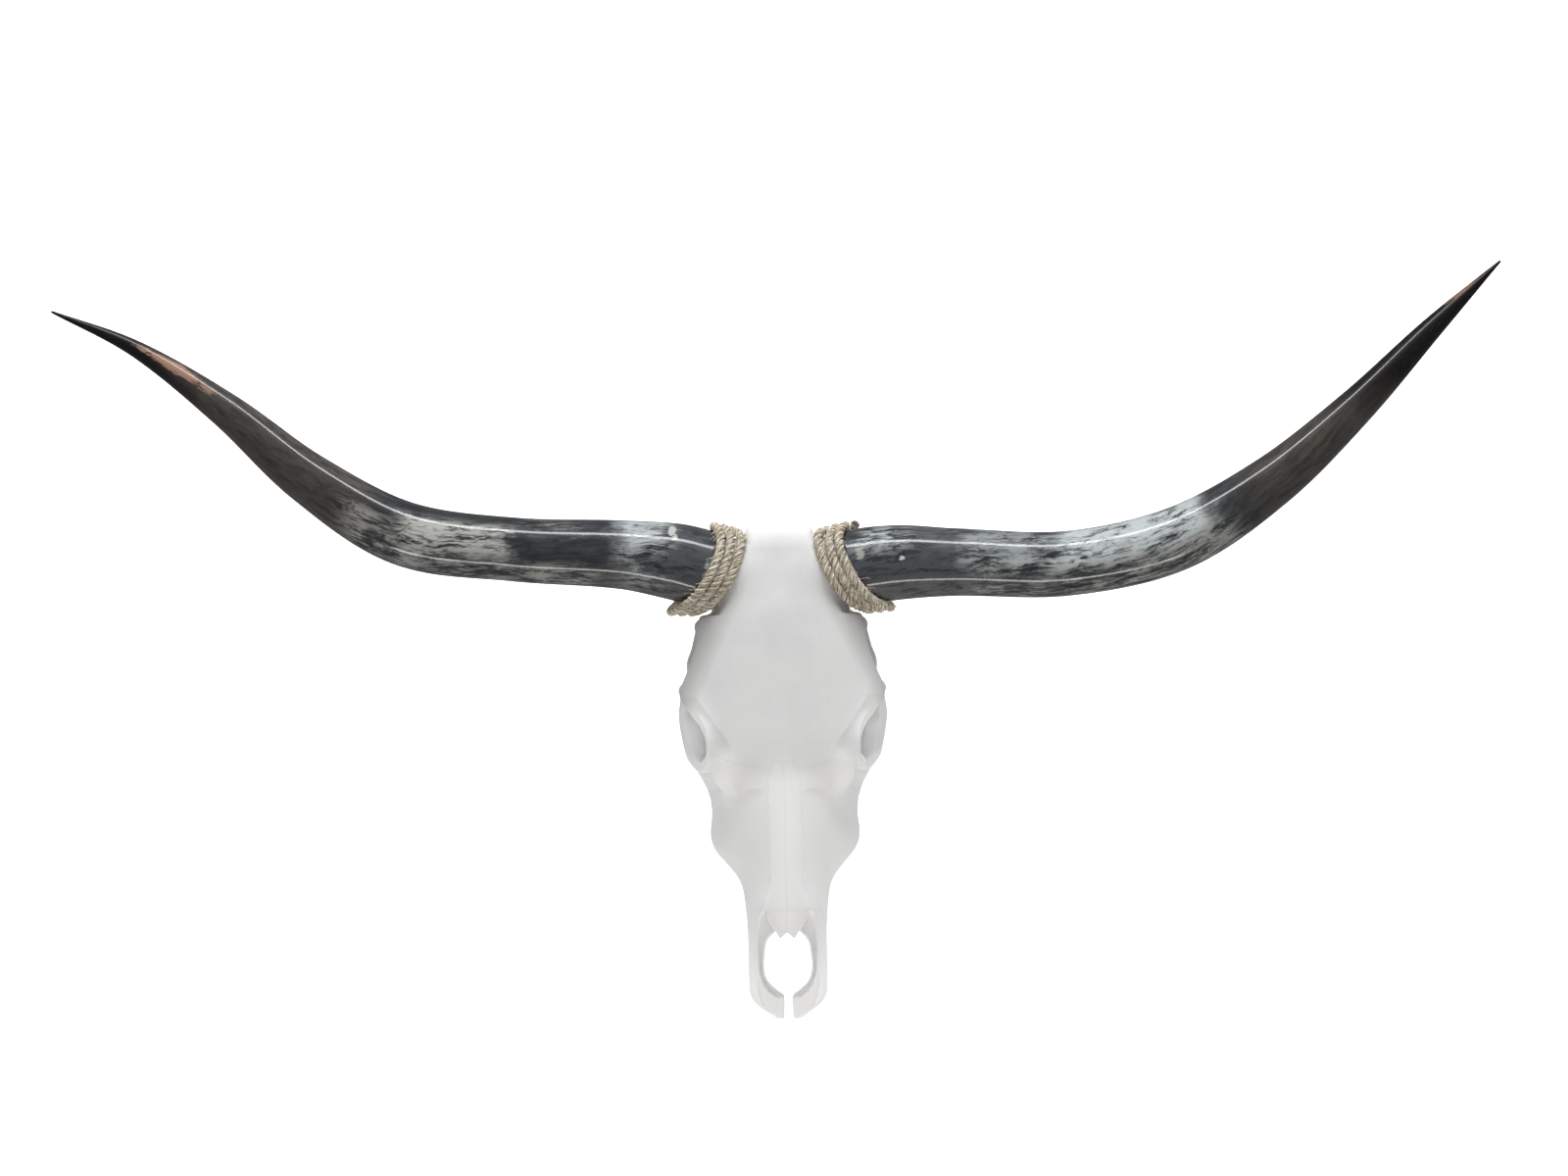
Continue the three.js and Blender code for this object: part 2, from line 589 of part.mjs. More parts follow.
/** The rope's route: rings that hug the horn core on one side and the horn on the other. */
class RopeRoute extends THREE.Curve {
  constructor(horn) {
    super();
    this.horn = horn;
    const lean = degToRad(horn.ring.lean);
    this.along = new THREE.Vector3(horn.side * cos(lean), sin(lean), 0);
    this.top = new THREE.Vector3(-horn.side * sin(lean), cos(lean), 0);
  }

  /** How far out the rope's middle would lie, turned this far round a ring's centre. */
  reach(centre, turned, out) {
    const infront = smoothstep(sin(turned), -0.7, 0.7);
    const tilt = degToRad(lerp(ROPE.back, ROPE.front, infront));
    out.copy(this.top).multiplyScalar(cos(turned));
    out.addScaledVector(this.along, -sin(tilt) * sin(turned));
    out.z = cos(tilt) * sin(turned);
    out.normalize();
    const spot = new THREE.Vector3();
    let reach = 90;
    for (let step = 0; step < 60; step += 1) {
      spot.copy(centre).addScaledVector(out, reach);
      const core = hornCore([abs(spot.x), -spot.y, spot.z]);
      const free = min(core, hornBaseDistance(spot.toArray(), this.horn)) - ROPE.radius - ROPE.clearance;
      if (free < 0.05) break;
      reach -= free * 0.7;
    }
    return reach;
  }

  getPoint(share, target = new THREE.Vector3()) {
    const shift = (share - 0.5) * ROPE.turns * ROPE.pitch;
    const centre = new THREE.Vector3(...this.horn.ring.centre).addScaledVector(this.along, shift);
    const out = new THREE.Vector3();
    const reach = this.reach(centre, 2 * PI * ROPE.turns * share, out);
    return target.copy(centre).addScaledVector(out, reach);
  }
}

function ropeSolid(horn) {
  const strand = new THREE.Shape().absarc(0, 0, ROPE.radius, 0, 2 * PI);
  return solid(new THREE.ExtrudeGeometry(strand, {
    steps: ROPE.steps * ROPE.turns,
    curveSegments: ROPE.sides / 2,
    bevelEnabled: false,
    extrudePath: new RopeRoute(horn),
  }));
}

// ---------------------------------------------------------------------------- assembly
const skull = new THREE.Group();
const half = SUTURE_GAP / 2;

const floorNormal = new THREE.Vector3(0, -sin(REST_PITCH), -cos(REST_PITCH));
const floorSpot = [0, -REST_STATION, -REST_DEPTH];
let bone = solid(simplify(boneSurface(), BONE_TRIANGLES)).subtract(halfSpace(floorSpot, floorNormal, 0));

for (const [name, horn] of Object.entries(HORNS)) {
  const outward = ringNormal(horn);
  const inward = outward.clone().negate();
  bone = bone.subtract(halfSpace(horn.ring.centre, outward, 0));
  const sheath = hornSolid(horn).subtract(halfSpace(horn.ring.centre, inward, -FIT_GAP));
  skull.add(named(`horn_${name}`, sheath, SHEATH));
  skull.add(named(`rope_${name}`, ropeSolid(horn), TWINE));
}

for (const [name, { side }] of Object.entries(HORNS)) {
  for (const [kind, region] of [
    ['nasal', nasalRegion], ['zygomatic', cheekRegion], ['premaxilla', premaxillaRegion],
  ]) {
    skull.add(named(`${kind}_${name}`, bone.intersect(region(side, -half)), BONE));
    bone = bone.subtract(region(side, half));
  }
}
skull.add(named('face', bone.intersect(faceRegion(-half)), BONE));
skull.add(named('cranium', bone.subtract(faceRegion(half)), BONE));

skull.rotation.x = REST_PITCH;
const box = new THREE.Box3().setFromObject(skull, true);
const middle = box.getCenter(new THREE.Vector3());
skull.position.set(-middle.x, -middle.y, -box.min.z);

const steerSkull = new THREE.Group();
steerSkull.add(skull);

export default steerSkull;
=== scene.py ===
import math

import bpy
import numpy as np
from mathutils import Matrix, Vector


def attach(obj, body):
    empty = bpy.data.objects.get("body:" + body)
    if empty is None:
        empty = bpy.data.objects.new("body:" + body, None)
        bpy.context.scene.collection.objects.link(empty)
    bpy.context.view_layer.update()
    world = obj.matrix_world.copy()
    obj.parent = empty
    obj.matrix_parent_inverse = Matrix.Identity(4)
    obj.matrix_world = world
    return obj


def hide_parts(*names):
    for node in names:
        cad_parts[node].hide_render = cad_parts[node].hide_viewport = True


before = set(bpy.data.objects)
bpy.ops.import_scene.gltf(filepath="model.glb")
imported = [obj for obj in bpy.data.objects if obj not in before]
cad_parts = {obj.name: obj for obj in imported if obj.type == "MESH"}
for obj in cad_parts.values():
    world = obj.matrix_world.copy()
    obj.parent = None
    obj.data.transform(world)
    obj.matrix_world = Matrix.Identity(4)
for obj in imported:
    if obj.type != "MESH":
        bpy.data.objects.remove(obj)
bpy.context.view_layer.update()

# ---------------------------------------------------------------------------- the skull's bones
# One field of distances gives the shape of the whole skull, and each bone is what lies inside
# it and inside the bone's own region, down to thin sutures.  Bleached bone, teeth joined on.
# Here x runs to the animal's left, s from poll to nose, z out of the forehead, in millimetres.
PITCH = math.radians(8)                          # the skull rests with its nose low
REST_DEPTH = 178                                 # forehead to floor at REST_STATION
REST_STATION = 50
REST_HEIGHT = REST_DEPTH * math.cos(PITCH) + REST_STATION * math.sin(PITCH)
ORIGIN = np.array([-0.002193, 0.141439, REST_HEIGHT / 1000])     # of these axes, in metres
CELL = 1.8

NECK = {"x": 70, "s": 46.5, "z": -47, "lean": 25, "bend": 0.9, "end": 93}
HORN_CORE = ((20, 50, -39), (130, 41, -38), 38, 42.5)            # from, to and both radii
ORBIT = {"centre": (97, 226, -45), "radius": 40, "rim": 6, "turn": 10, "lift": 19}
TEETH = [                                        # from, to, half-width, molars first
    (255, 283, 10.5), (283, 310, 11.5), (310, 334, 11.5),
    (334, 354, 10), (354, 374, 9), (374, 391, 7.5),
]


def place(points):
    """Points of the skull's frame (x, s, z) in millimetres, as points of the world in metres."""
    x, s, z = np.moveaxis(np.asarray(points, float), -1, 0) / 1000
    c, d = math.cos(PITCH), math.sin(PITCH)
    return np.stack([x, -s * c - z * d, -s * d + z * c], -1) + ORIGIN


def blend(a, b, k):
    """Union of two distances with a fillet of size k."""
    h = np.clip(0.5 + (b - a) / (2 * k), 0, 1)
    return b + (a - b) * h - k * h * (1 - h)


def carve(a, b, k):
    """What is in a but outside b, with the edge rounded by k."""
    return -blend(-a, b, k)


def line(*points):
    """A smooth line through (station, value) pairs, held level past both ends."""
    at, value = np.array(points, np.float32).T
    n = np.arange(len(at))
    before, after = np.maximum(n - 1, 0), np.minimum(n + 1, n[-1])
    slope = (value[after] - value[before]) / (at[after] - at[before])

    def smooth(s):
        s = np.clip(s, at[0], at[-1])
        i = np.clip(np.searchsorted(at, s), 1, n[-1])
        run = at[i] - at[i - 1]
        t = (s - at[i - 1]) / run
        rise = value[i - 1] + (value[i] - value[i - 1]) * t * t * (3 - 2 * t)
        return rise + run * t * (1 - t) * ((1 - t) * slope[i - 1] - t * slope[i])
    return smooth


def length(*sides):
    """The length of a straight line with these sides."""
    return np.sqrt(sum(side * side for side in sides))


def ellipsoid(p, centre, radii):
    """Distance to an egg shape, near enough close to its surface."""
    u, v, w = ((a - c) / r for a, c, r in zip(p, centre, radii))
    reach = length(u, v, w)
    return reach * (reach - 1) / np.maximum(length(u / radii[0], v / radii[1], w / radii[2]), 1e-6)


def rod(p, a, b, ra, rb, flat=1.0):
    """A rod from a to b, its radius running from ra to rb, flattened sideways."""
    d = [end - start for start, end in zip(a, b)]
    q = [value - start for value, start in zip(p, a)]
    t = np.clip(sum(u * v for u, v in zip(q, d)) / sum(v * v for v in d), 0, 1)
    across = length((q[0] - t * d[0]) / flat, q[1] - t * d[1], q[2] - t * d[2])
    return (across - (ra + (rb - ra) * t)) * flat


def outline(u, v, corners, closed=False):
    """Distance to an outline; an open one is mirrored about u = 0."""
    inside = False
    nearest = np.float32(1e12)
    pairs = list(zip(corners, corners[1:])) + ([(corners[-1], corners[0])] if closed else [])
    for (au, av), (bu, bv) in pairs:
        eu, ev = bu - au, bv - av
        t = np.clip(((u - au) * eu + (v - av) * ev) / (eu * eu + ev * ev), 0, 1)
        nearest = np.minimum(nearest, (u - au - t * eu) ** 2 + (v - av - t * ev) ** 2)
        steep = np.where(np.abs(ev) < 1e-6, 1e-6, ev)
        inside = inside ^ (((av > v) != (bv > v)) & (u < au + eu * (v - av) / steep))
    return np.where(inside, -1, 1) * np.sqrt(nearest)


# Half-widths and heights along the skull, from poll to nose.
plate_top = line((-14, -16), (-2, -3), (30, 2), (110, 3), (180, 0), (235, -2), (262, -8),
                 (290, -24), (310, -40))
plate_half = line((-14, 36), (-4, 42), (8, 46), (20, 54), (60, 71), (80, 79), (92, 88),
                  (100, 91.5), (113, 94), (130, 96.5), (154, 104.5), (174, 112.5), (186, 113),
                  (213, 95.5), (240, 78.5), (262, 80), (282, 76), (300, 60))
plate_depth = line((0, 46), (60, 40), (120, 30), (180, 20), (240, 22), (300, 24))
case_half = line((20, 44), (60, 56), (110, 52), (160, 42), (230, 42), (275, 46))
case_floor = line((20, -112), (60, -128), (120, -122), (180, -106), (240, -110), (275, -112))
ridge_top = line((240, -14), (262, -9.5), (285, -8), (335, -12), (400, -20), (435, -27), (460, -33))
nasal_half = line((250, 12), (281, 18.9), (335, 18.9), (395, 18), (418, 23), (428, 23.5),
                  (440, 19.5), (450, 13), (460, 7))
shoulder_x = line((240, 66), (281, 58), (335, 48), (378, 41), (427, 38), (480, 38), (530, 36),
                  (543, 28), (551, 20), (557, 12))
shoulder_z = line((240, -18), (281, -24), (335, -33), (378, -43), (427, -54), (545, -90))
crest_x = line((240, 80), (262, 88), (291, 85.5), (320, 83), (345, 85), (362, 80), (378, 67),
               (392, 56), (406, 50), (428, 47), (455, 45.2), (515, 45), (532, 43), (543, 35),
               (551, 24), (557, 15))
crest_z = line((240, -64), (300, -74), (360, -80), (392, -80), (455, -82), (545, -94))
alveolus_x = line((240, 50), (262, 60), (335, 62), (374, 54), (405, 42), (455, 36), (530, 39),
                  (543, 30), (551, 20), (557, 12))
palate_z = line((240, -112), (300, -116), (385, -108), (455, -101), (545, -101))
tooth_x = line((255, 51), (300, 53), (340, 50), (390, 41))
nose_half = line((385, 18), (426, 28), (440, 33), (500, 33.5), (512, 30), (524, 22), (531, 14))
nose_wall_top = line((424, -30), (433, -46), (455, -59), (495, -69), (536, -82), (557, -86))
nose_roof = line((400, -60), (420, -46), (427, -38), (434, -22), (440, 10))
nose_gap = line((446, 4), (456, 13), (468, 23), (485, 26.5), (504, 27), (516, 22.5), (526, 12),
                (531, 5.4), (560, 5.4))


def neck(x, s, z):
    """Outside a leaning plane, the plate gives way to the round horn core."""
    lean = math.radians(NECK["lean"])
    back = s - NECK["s"]
    outward = (x - NECK["x"]) * math.cos(lean) - np.maximum(back, NECK["bend"] * back) * math.sin(lean)
    beyond = outward * math.cos(lean) + (z - NECK["z"]) * math.sin(lean)
    return np.maximum(-beyond, s - NECK["end"])


def frontal_plate(x, s, z):
    """The broad forehead from the poll to below the orbits."""
    half, top, under = plate_half(s) - 5, plate_top(s), plate_top(s) - plate_depth(s)
    corners = [(0, top - 5), (half - 16, top - 7), (half, top - 14), (half - 4, top - 20),
               (half * 0.6, under), (0, under)]
    plate = carve(carve(outline(x, z, corners) - 5, s + 8, 12), neck(x, s, z), 5)
    return np.maximum(plate, s - 300)


def braincase(x, s, z):
    """The box of bone under the forehead, between the temples."""
    half, floor = case_half(s) - 16, case_floor(s) + 16
    corners = [(0, -38), (half, -38), (half, -70), (half - 6, floor + 14), (12, floor), (0, floor)]
    return np.maximum(np.maximum(outline(x, z, corners) - 16, 22 - s), s - 280)


def face_block(x, s, z):
    """The long face: ridge, shoulders, the crest over the cheek teeth and the palate."""
    top, base = ridge_top(s), palate_z(s) + 7
    corners = [(0, top - 7), (nasal_half(s) - 5, top - 9), (shoulder_x(s) - 7, shoulder_z(s) - 7),
               (crest_x(s) - 7, crest_z(s)), (alveolus_x(s) - 7, base), (0, base)]
    return np.maximum(np.maximum(outline(x, z, corners) - 7, 240 - s), s - 557)


def orbit(x, s, z):
    """The lower part of the orbit's rim, the cup of bone behind it and the socket in the cup."""
    yaw, rise = math.radians(ORBIT["turn"]), math.radians(ORBIT["lift"])
    px, ps, pz = x - ORBIT["centre"][0], s - ORBIT["centre"][1], z - ORBIT["centre"][2]
    along = (px * math.cos(yaw) + ps * math.sin(yaw)) * math.cos(rise) + pz * math.sin(rise)
    around = np.sqrt(np.maximum(px ** 2 + ps ** 2 + pz ** 2 - along ** 2, 0))
    rim = length(around - ORBIT["radius"], along) - ORBIT["rim"]
    cup = (length(around / 43, (along + 10) / 48) - 1) * 43
    socket = (length(around / 34.5, along / 46) - 1) * 34.5
    return np.maximum(rim, z + 28), np.maximum(cup, along - 2), socket


def cheek_arch(p):
    """The bar of bone outside the temple: cheek bone, arch, and its root on the braincase."""
    front = rod(p, (102, 250, -78), (108, 205, -88), 11, 10, 0.75)
    middle = rod(p, (108, 205, -88), (100, 150, -80), 10, 9, 0.65)
    back = rod(p, (100, 150, -80), (89, 108, -80), 9, 10, 0.75)
    root = rod(p, (89, 108, -80), (56, 96, -88), 10, 17)
    cheek = rod(p, (100, 246, -76), (82, 290, -82), 14, 8, 0.75)
    bar = rod(p, (108, 178, -34), (108, 182, -82), 9, 8, 0.9)
    return np.minimum(blend(blend(front, middle, 8), back, 8), blend(blend(root, cheek, 4), bar, 6))


def occiput(p):
    """The back of the skull, its condyles and the processes beside them."""
    plate = ellipsoid(p, (0, 44, -78), (58, 26, 56))
    condyle = ellipsoid(p, (27, 46, -131), (13, 17, 19))
    beside_condyle = rod(p, (49, 60, -118), (47, 50, -174), 14, 8, 0.85)
    return blend(blend(plate, condyle, 10), beside_condyle, 9)


def skull_base(p):
    """The bar under the braincase, the ear capsules and the wings behind the palate."""
    bar = rod(p, (0, 60, -128), (0, 215, -104), 17, 12)
    bulla = ellipsoid(p, (35, 90, -134), (10, 17, 15))
    pterygoid = rod(p, (25, 215, -104), (25, 262, -112), 22, 18, 0.25)
    return blend(blend(bar, bulla, 8), pterygoid, 6)


def cheek_teeth(x, s, z):
    """The two rows of teeth, each tooth with upright folds down its sides."""
    nearest = np.float32(1e6)
    for start, end, half in TEETH:
        middle, run = (start + end) / 2, (end - start) / 2
        folds = 0.9 * np.cos(2 * math.pi * (s - middle) / run)
        dx = np.abs(x - tooth_x(middle)) - half + 3.4 + folds
        ds = np.abs(s - middle) - run + 3.6
        reach = length(np.maximum(dx, 0), np.maximum(ds, 0)) + np.minimum(np.maximum(dx, ds), 0)
        nearest = np.minimum(nearest, reach - 3)
    return np.maximum(nearest, z + 104)


def nasal_bones(x, s, z):
    """The two thin roofs of the nose, each with a forked end."""
    half, top = nasal_half(s) - 3, ridge_top(s) - 3.2 - 1.5 * np.clip((330 - s) / 30, 0, 1)
    corners = [(0, top), (half * 0.6, top - 1.2), (half, top - 4), (half, top - 4.6), (0, top - 3)]
    forked_end = s - 458 + np.abs(x - 8) * 1.1
    return np.maximum(np.maximum(outline(x, z, corners) - 3.2, 300 - s), forked_end)


def nose_opening(x, s, z):
    """The chamber under the nasal bones, narrower at its floor, and the gap through that floor."""
    sunk = np.clip((nose_wall_top(s) - z) / 40, 0, 1)
    wall = (x - nose_half(s) - (nose_gap(s) - nose_half(s)) * sunk) * 0.85
    chamber = np.maximum(np.maximum(wall, 390 - s), np.maximum(-88 - z, s - 531))
    chamber = np.maximum(chamber, z - nose_roof(s))
    above = np.maximum(nose_wall_top(s) - z, 424 - s)
    through = np.maximum(x - nose_gap(s), 446 - s)
    return np.minimum(np.minimum(chamber, above), through)


def skull_distance(x, s, z):
    """Distance from a point to the bone; the skull is the same on both sides."""
    x = np.abs(x)
    p = (x, s, z)
    rim, cup, socket = orbit(*p)
    bone = blend(braincase(*p), frontal_plate(*p), 14)
    bone = blend(bone, rod(p, *HORN_CORE), 12)
    bone = blend(bone, occiput(p), 12)
    bone = blend(bone, skull_base(p), 8)
    bone = blend(bone, face_block(*p), 12)
    bone = blend(bone, cup, 8)
    bone = blend(bone, cheek_arch(p), 8)
    bone = carve(bone, socket, 2.5)
    bone = blend(bone, rim, 6)
    bone = carve(bone, ellipsoid(p, (0, 28, -121), (16, 30, 15)), 3)
    bone = carve(bone, ellipsoid(p, (0, 320, -128), (32, 84, 17)), 5)
    bone = carve(bone, ellipsoid(p, (0, 238, -118), (17, 34, 26)), 4)
    bone = blend(bone, cheek_teeth(*p), 2.5)
    bone = carve(bone, nose_opening(*p), 2.5)
    bone = blend(bone, nasal_bones(*p), 1.5)
    floor = (-REST_DEPTH + (s - REST_STATION) * math.tan(PITCH) - z) * math.cos(PITCH)
    return np.maximum(bone, floor)


def shared_net(field, owner, low, cell):
    """Closed meshes of what lies inside the field, one for each owner, meeting point to point.

    Every cell whose corners differ holds one point, on the field's surface where that crosses
    the cell.  Returns the points, which of them are on the surface, and each owner's faces.
    """
    label = np.where(field < 0, owner, 0).astype(np.int8)
    corners = np.array([(i, j, k) for i in (0, 1) for j in (0, 1) for k in (0, 1)])
    n = np.array(field.shape) - 1
    differ = np.zeros(n, bool)
    for i, j, k in corners:
        differ |= label[i:i + n[0], j:j + n[1], k:k + n[2]] != label[:-1, :-1, :-1]
    cells = np.argwhere(differ)
    number = np.full(n, -1, np.int32)
    number[tuple(cells.T)] = np.arange(len(cells))
    total, crossings = np.zeros((2, len(cells), 3)), np.zeros((2, len(cells)))
    for a in corners:
        for axis in np.flatnonzero(a == 0):
            step = np.eye(3, dtype=int)[axis]
            here, there = tuple((cells + a).T), tuple((cells + a + step).T)
            fa, fb = field[here], field[there]
            surface = (fa < 0) != (fb < 0)
            t = np.where(surface, fa / np.where(surface, fa - fb, 1), 0)
            inner = (label[here] != label[there]) & ~surface
            for kind, (crossed, share) in enumerate([(surface, t), (inner, 0.5 + 0 * t)]):
                total[kind] += np.where(crossed[:, None], a + share[:, None] * step, 0)
                crossings[kind] += crossed
    outer = crossings[0] > 0
    mean = np.where(outer[:, None], total[0], total[1]) / np.where(outer, *crossings)[:, None]
    faces = {k: [] for k in range(1, owner.max() + 1)}
    for axis in range(3):
        step, u, v = np.roll(np.eye(3, dtype=int), -axis, 0)
        here = np.argwhere(np.diff(label, axis=axis) != 0)
        rows = here[:, [(axis + 1) % 3, (axis + 2) % 3]]
        here = here[((rows > 0) & (rows < n[[(axis + 1) % 3, (axis + 2) % 3]])).all(1)]
        quad = np.stack([number[tuple((here - shift).T)] for shift in (u + v, v, 0 * u, u)], 1)
        a, b = label[tuple(here.T)], label[tuple((here + step).T)]
        for k in faces:
            faces[k] += [quad[a == k], quad[b == k][:, ::-1]]
    return (cells + mean) * cell + low, outer, {k: np.concatenate(v) for k, v in faces.items()}


def bone_slope(points, step=0.4):
    """The field at each point and the direction in which it grows."""
    x, s, z = points.T
    here = skull_distance(x, s, z)
    grown = [skull_distance(x + step, s, z), skull_distance(x, s + step, z), skull_distance(x, s, z + step)]
    slope = np.stack([value - here for value in grown], 1) / step
    return here, slope / np.maximum(np.linalg.norm(slope, axis=1), 1e-6)[:, None]


def mesh_object(name, points, faces, material, normals=None, **fields):
    """A smooth mesh of world points in metres, with named values stored at its points."""
    mesh = bpy.data.meshes.new(name)
    mesh.from_pydata(points, [], faces)
    for key, values in fields.items():
        kind, slot = ("FLOAT", "value") if values.ndim == 1 else ("FLOAT_VECTOR", "vector")
        data = mesh.attributes.new(key, kind, "POINT").data
        data.foreach_set(slot, values.astype(np.float32).ravel())
    mesh.shade_smooth()
    if normals is not None:
        mesh.normals_split_custom_set_from_vertices(normals)
    mesh.materials.append(material)
    made = bpy.data.objects.new(name, mesh)
    bpy.context.scene.collection.objects.link(made)
    return made


class Wire:
    """A value running through a node tree: Python's operators add its Math nodes."""

    def __init__(self, tree, socket):
        self.tree, self.socket = tree, socket

    def maths(self, operation, *values):
        """A Math node on these values."""
        return self.tree.node("ShaderNodeMath", {"operation": operation}, dict(enumerate(values)))

    def __add__(self, other):
        return self.maths("ADD", self, other)

    def __sub__(self, other):
        return self.maths("SUBTRACT", self, other)

    def __rsub__(self, other):
        return self.maths("SUBTRACT", other, self)

    def __mul__(self, other):
        return self.maths("MULTIPLY", self, other)

    def __truediv__(self, other):
        return self.maths("DIVIDE", self, other)

    __radd__ = __add__
    __rmul__ = __mul__


class Tree:
    """Builds a node tree, of a material or of geometry nodes, one node at a time."""

    def __init__(self, tree):
        self.tree = tree
        tree.nodes.clear()

    def node(self, kind, settings=None, sockets=None, out=0):
        """A node of this kind with its settings and its sockets' values or links."""
        made = self.tree.nodes.new(kind)
        for key, value in (settings or {}).items():
            setattr(made, key, value)
        for key, value in (sockets or {}).items():
            if isinstance(value, Wire):
                self.tree.links.new(value.socket, made.inputs[key])
            else:
                made.inputs[key].default_value = value
        return Wire(self, made.outputs[out]) if len(made.outputs) else made

    def outlet(self, wire, out):
        """Another output of the node that a wire comes from."""
        return Wire(self, wire.socket.node.outputs[out])

    def noise(self, vector, scale, detail=3.0, roughness=0.5):
        sockets = {"Vector": vector, "Scale": scale, "Detail": detail, "Roughness": roughness}
        return self.node("ShaderNodeTexNoise", None, sockets)

    def step(self, value, low, high):
        """0 below low, 1 above high and a smooth rise between them."""
        sockets = {"Value": value, "From Min": low, "From Max": high}
        return self.node("ShaderNodeMapRange", {"interpolation_type": "SMOOTHSTEP"}, sockets)

    def mix(self, share, a, b):
        return self.node("ShaderNodeMix", {"data_type": "RGBA"}, {0: share, 6: a, 7: b}, out=2)

    def stretch(self, vector, scale):
        return self.node("ShaderNodeVectorMath", {"operation": "MULTIPLY"}, {0: vector, 1: scale})

    def attribute(self, name, out="Fac"):
        return self.node("ShaderNodeAttribute", {"attribute_name": name}, None, out)

    def surface(self, **sockets):
        """The material's shader and its output."""
        named = {key.replace("_", " ").title(): value for key, value in sockets.items()}
        named = {key.replace("Ior", "IOR"): value for key, value in named.items()}
        shader = self.node("ShaderNodeBsdfPrincipled", None, named)
        self.node("ShaderNodeOutputMaterial", None, {"Surface": shader})


def new_paint(name):
    """An empty material and the tree that its nodes go into."""
    material = bpy.data.materials.new(name)
    material.use_nodes = True
    return material, Tree(material.node_tree)


GREY_BONE = (0.585, 0.585, 0.585, 1)
PALE_BONE = (0.625, 0.625, 0.622, 1)
# Painted light: the tone that the bone's painted light goes towards.
PAINTED_LIGHT_BONE = (0.86, 0.86, 0.86, 1)
GRAINY_BONE = (0.48, 0.475, 0.465, 1)
# Painted shade: the tone that the hollows of the bone are darkened towards.
HOLLOW_SHADE = (0.36, 0.345, 0.32, 1)
# Painted shadow: the tone of the ropes' shadow on the bone below each horn.
ROPE_SHADOW_TONE = (0.22, 0.215, 0.205, 1)
SUTURE = (0.30, 0.29, 0.27, 1)
ENAMEL = (0.60, 0.55, 0.45, 1)
STAINED_ENAMEL = (0.27, 0.21, 0.14, 1)
TARTAR = (0.16, 0.11, 0.07, 1)


def bone_paint():
    """Bleached bone: faint clouds and grain, a little painted shade in the hollows, painted light on the
    poll, orbits and face, painted shadow below the ropes, yellower teeth.
    """
    material, tree = new_paint("bleached bone")
    spot = tree.node("ShaderNodeTexCoord", None, None, "Object")
    clouds = tree.noise(spot, 14.0, 3.0)
    grain = tree.noise(tree.stretch(spot, (1.0, 0.14, 1.0)), 420.0, 4.0)
    pores = tree.noise(spot, 900.0, 2.0)
    hollow = tree.attribute("hollow")
    enamel = tree.attribute("enamel")
    stained = tree.noise(tree.stretch(spot, (1.0, 1.0, 0.12)), 700.0, 5.0, 0.6)
    colour = tree.mix(tree.step(clouds, 0.35, 0.65), GREY_BONE, PALE_BONE)
    colour = tree.mix(tree.step(grain, 0.56, 0.75) * 0.15, colour, GRAINY_BONE)
    # Painted light: whiter bone at the poll, in and by the orbits and down the face and nose.
    colour = tree.mix(tree.attribute("bleach"), colour, PAINTED_LIGHT_BONE)
    # Painted shade: a little darker where nearby bone closes round a point.
    colour = tree.mix(hollow * hollow * 0.15, colour, HOLLOW_SHADE)
    # Painted shadow of the ropes on the bone below each horn.
    colour = tree.mix(tree.attribute("grime") * 0.85, colour, ROPE_SHADOW_TONE)
    colour = tree.mix(tree.attribute("seam") * 0.08, colour, SUTURE)
    tooth = tree.mix(tree.step(stained, 0.42, 0.72), ENAMEL, STAINED_ENAMEL)
    tooth = tree.mix(hollow * 0.8, tooth, TARTAR)
    colour = tree.mix(enamel, colour, tooth)
    height = grain * 0.35 + pores * 0.25 + tree.noise(spot, 130.0, 2.0) * 0.6
    bump = tree.node("ShaderNodeBump", None, {"Strength": 0.25, "Distance": 0.0009, "Height": height})
    rough = 0.62 - enamel * 0.3 + grain * 0.08
    tree.surface(base_color=colour, roughness=rough, normal=bump, specular_ior_level=0.35)
    return material


BONE = bone_paint()


def ring_normal(side, lean, forward):
    """The direction (x, s, z) out of the skull, square to the plane of a horn's rope rings."""
    lean, forward = math.radians(lean), math.radians(forward)
    return np.array([side * math.cos(lean) * math.cos(forward),
                     -math.sin(lean) * math.cos(forward), math.sin(forward)])


RINGS = {                                        # middle of the rope's rings, and their normal
    "left": (np.array([88, 39, -38.0]), ring_normal(1, 26, 11)),
    "right": (np.array([-87, 38, -38.0]), ring_normal(-1, 24, 12)),
}
ROPE_EDGE = 20                                   # from there to the rope's edge on the skull
# How far the ropes' painted shadow reaches past the rope's edge.
ROPE_SHADOW_REACH = 28
SKULL_LOW = (-20.0, -184.0)                      # lowest s and z of the box round half the skull
SKULL_BOX = (150, 586, 196)
HOLLOW_REACHES = (5.0, 12.0, 26.0)               # how far out a point looks for bone that shades it


def wander(value, seed):
    """A slow sideways wander, for the line of a suture."""
    return 0.8 * np.sin(value * 0.31 + seed + 1.4 * np.sin(value * 0.117 + 2 * seed))


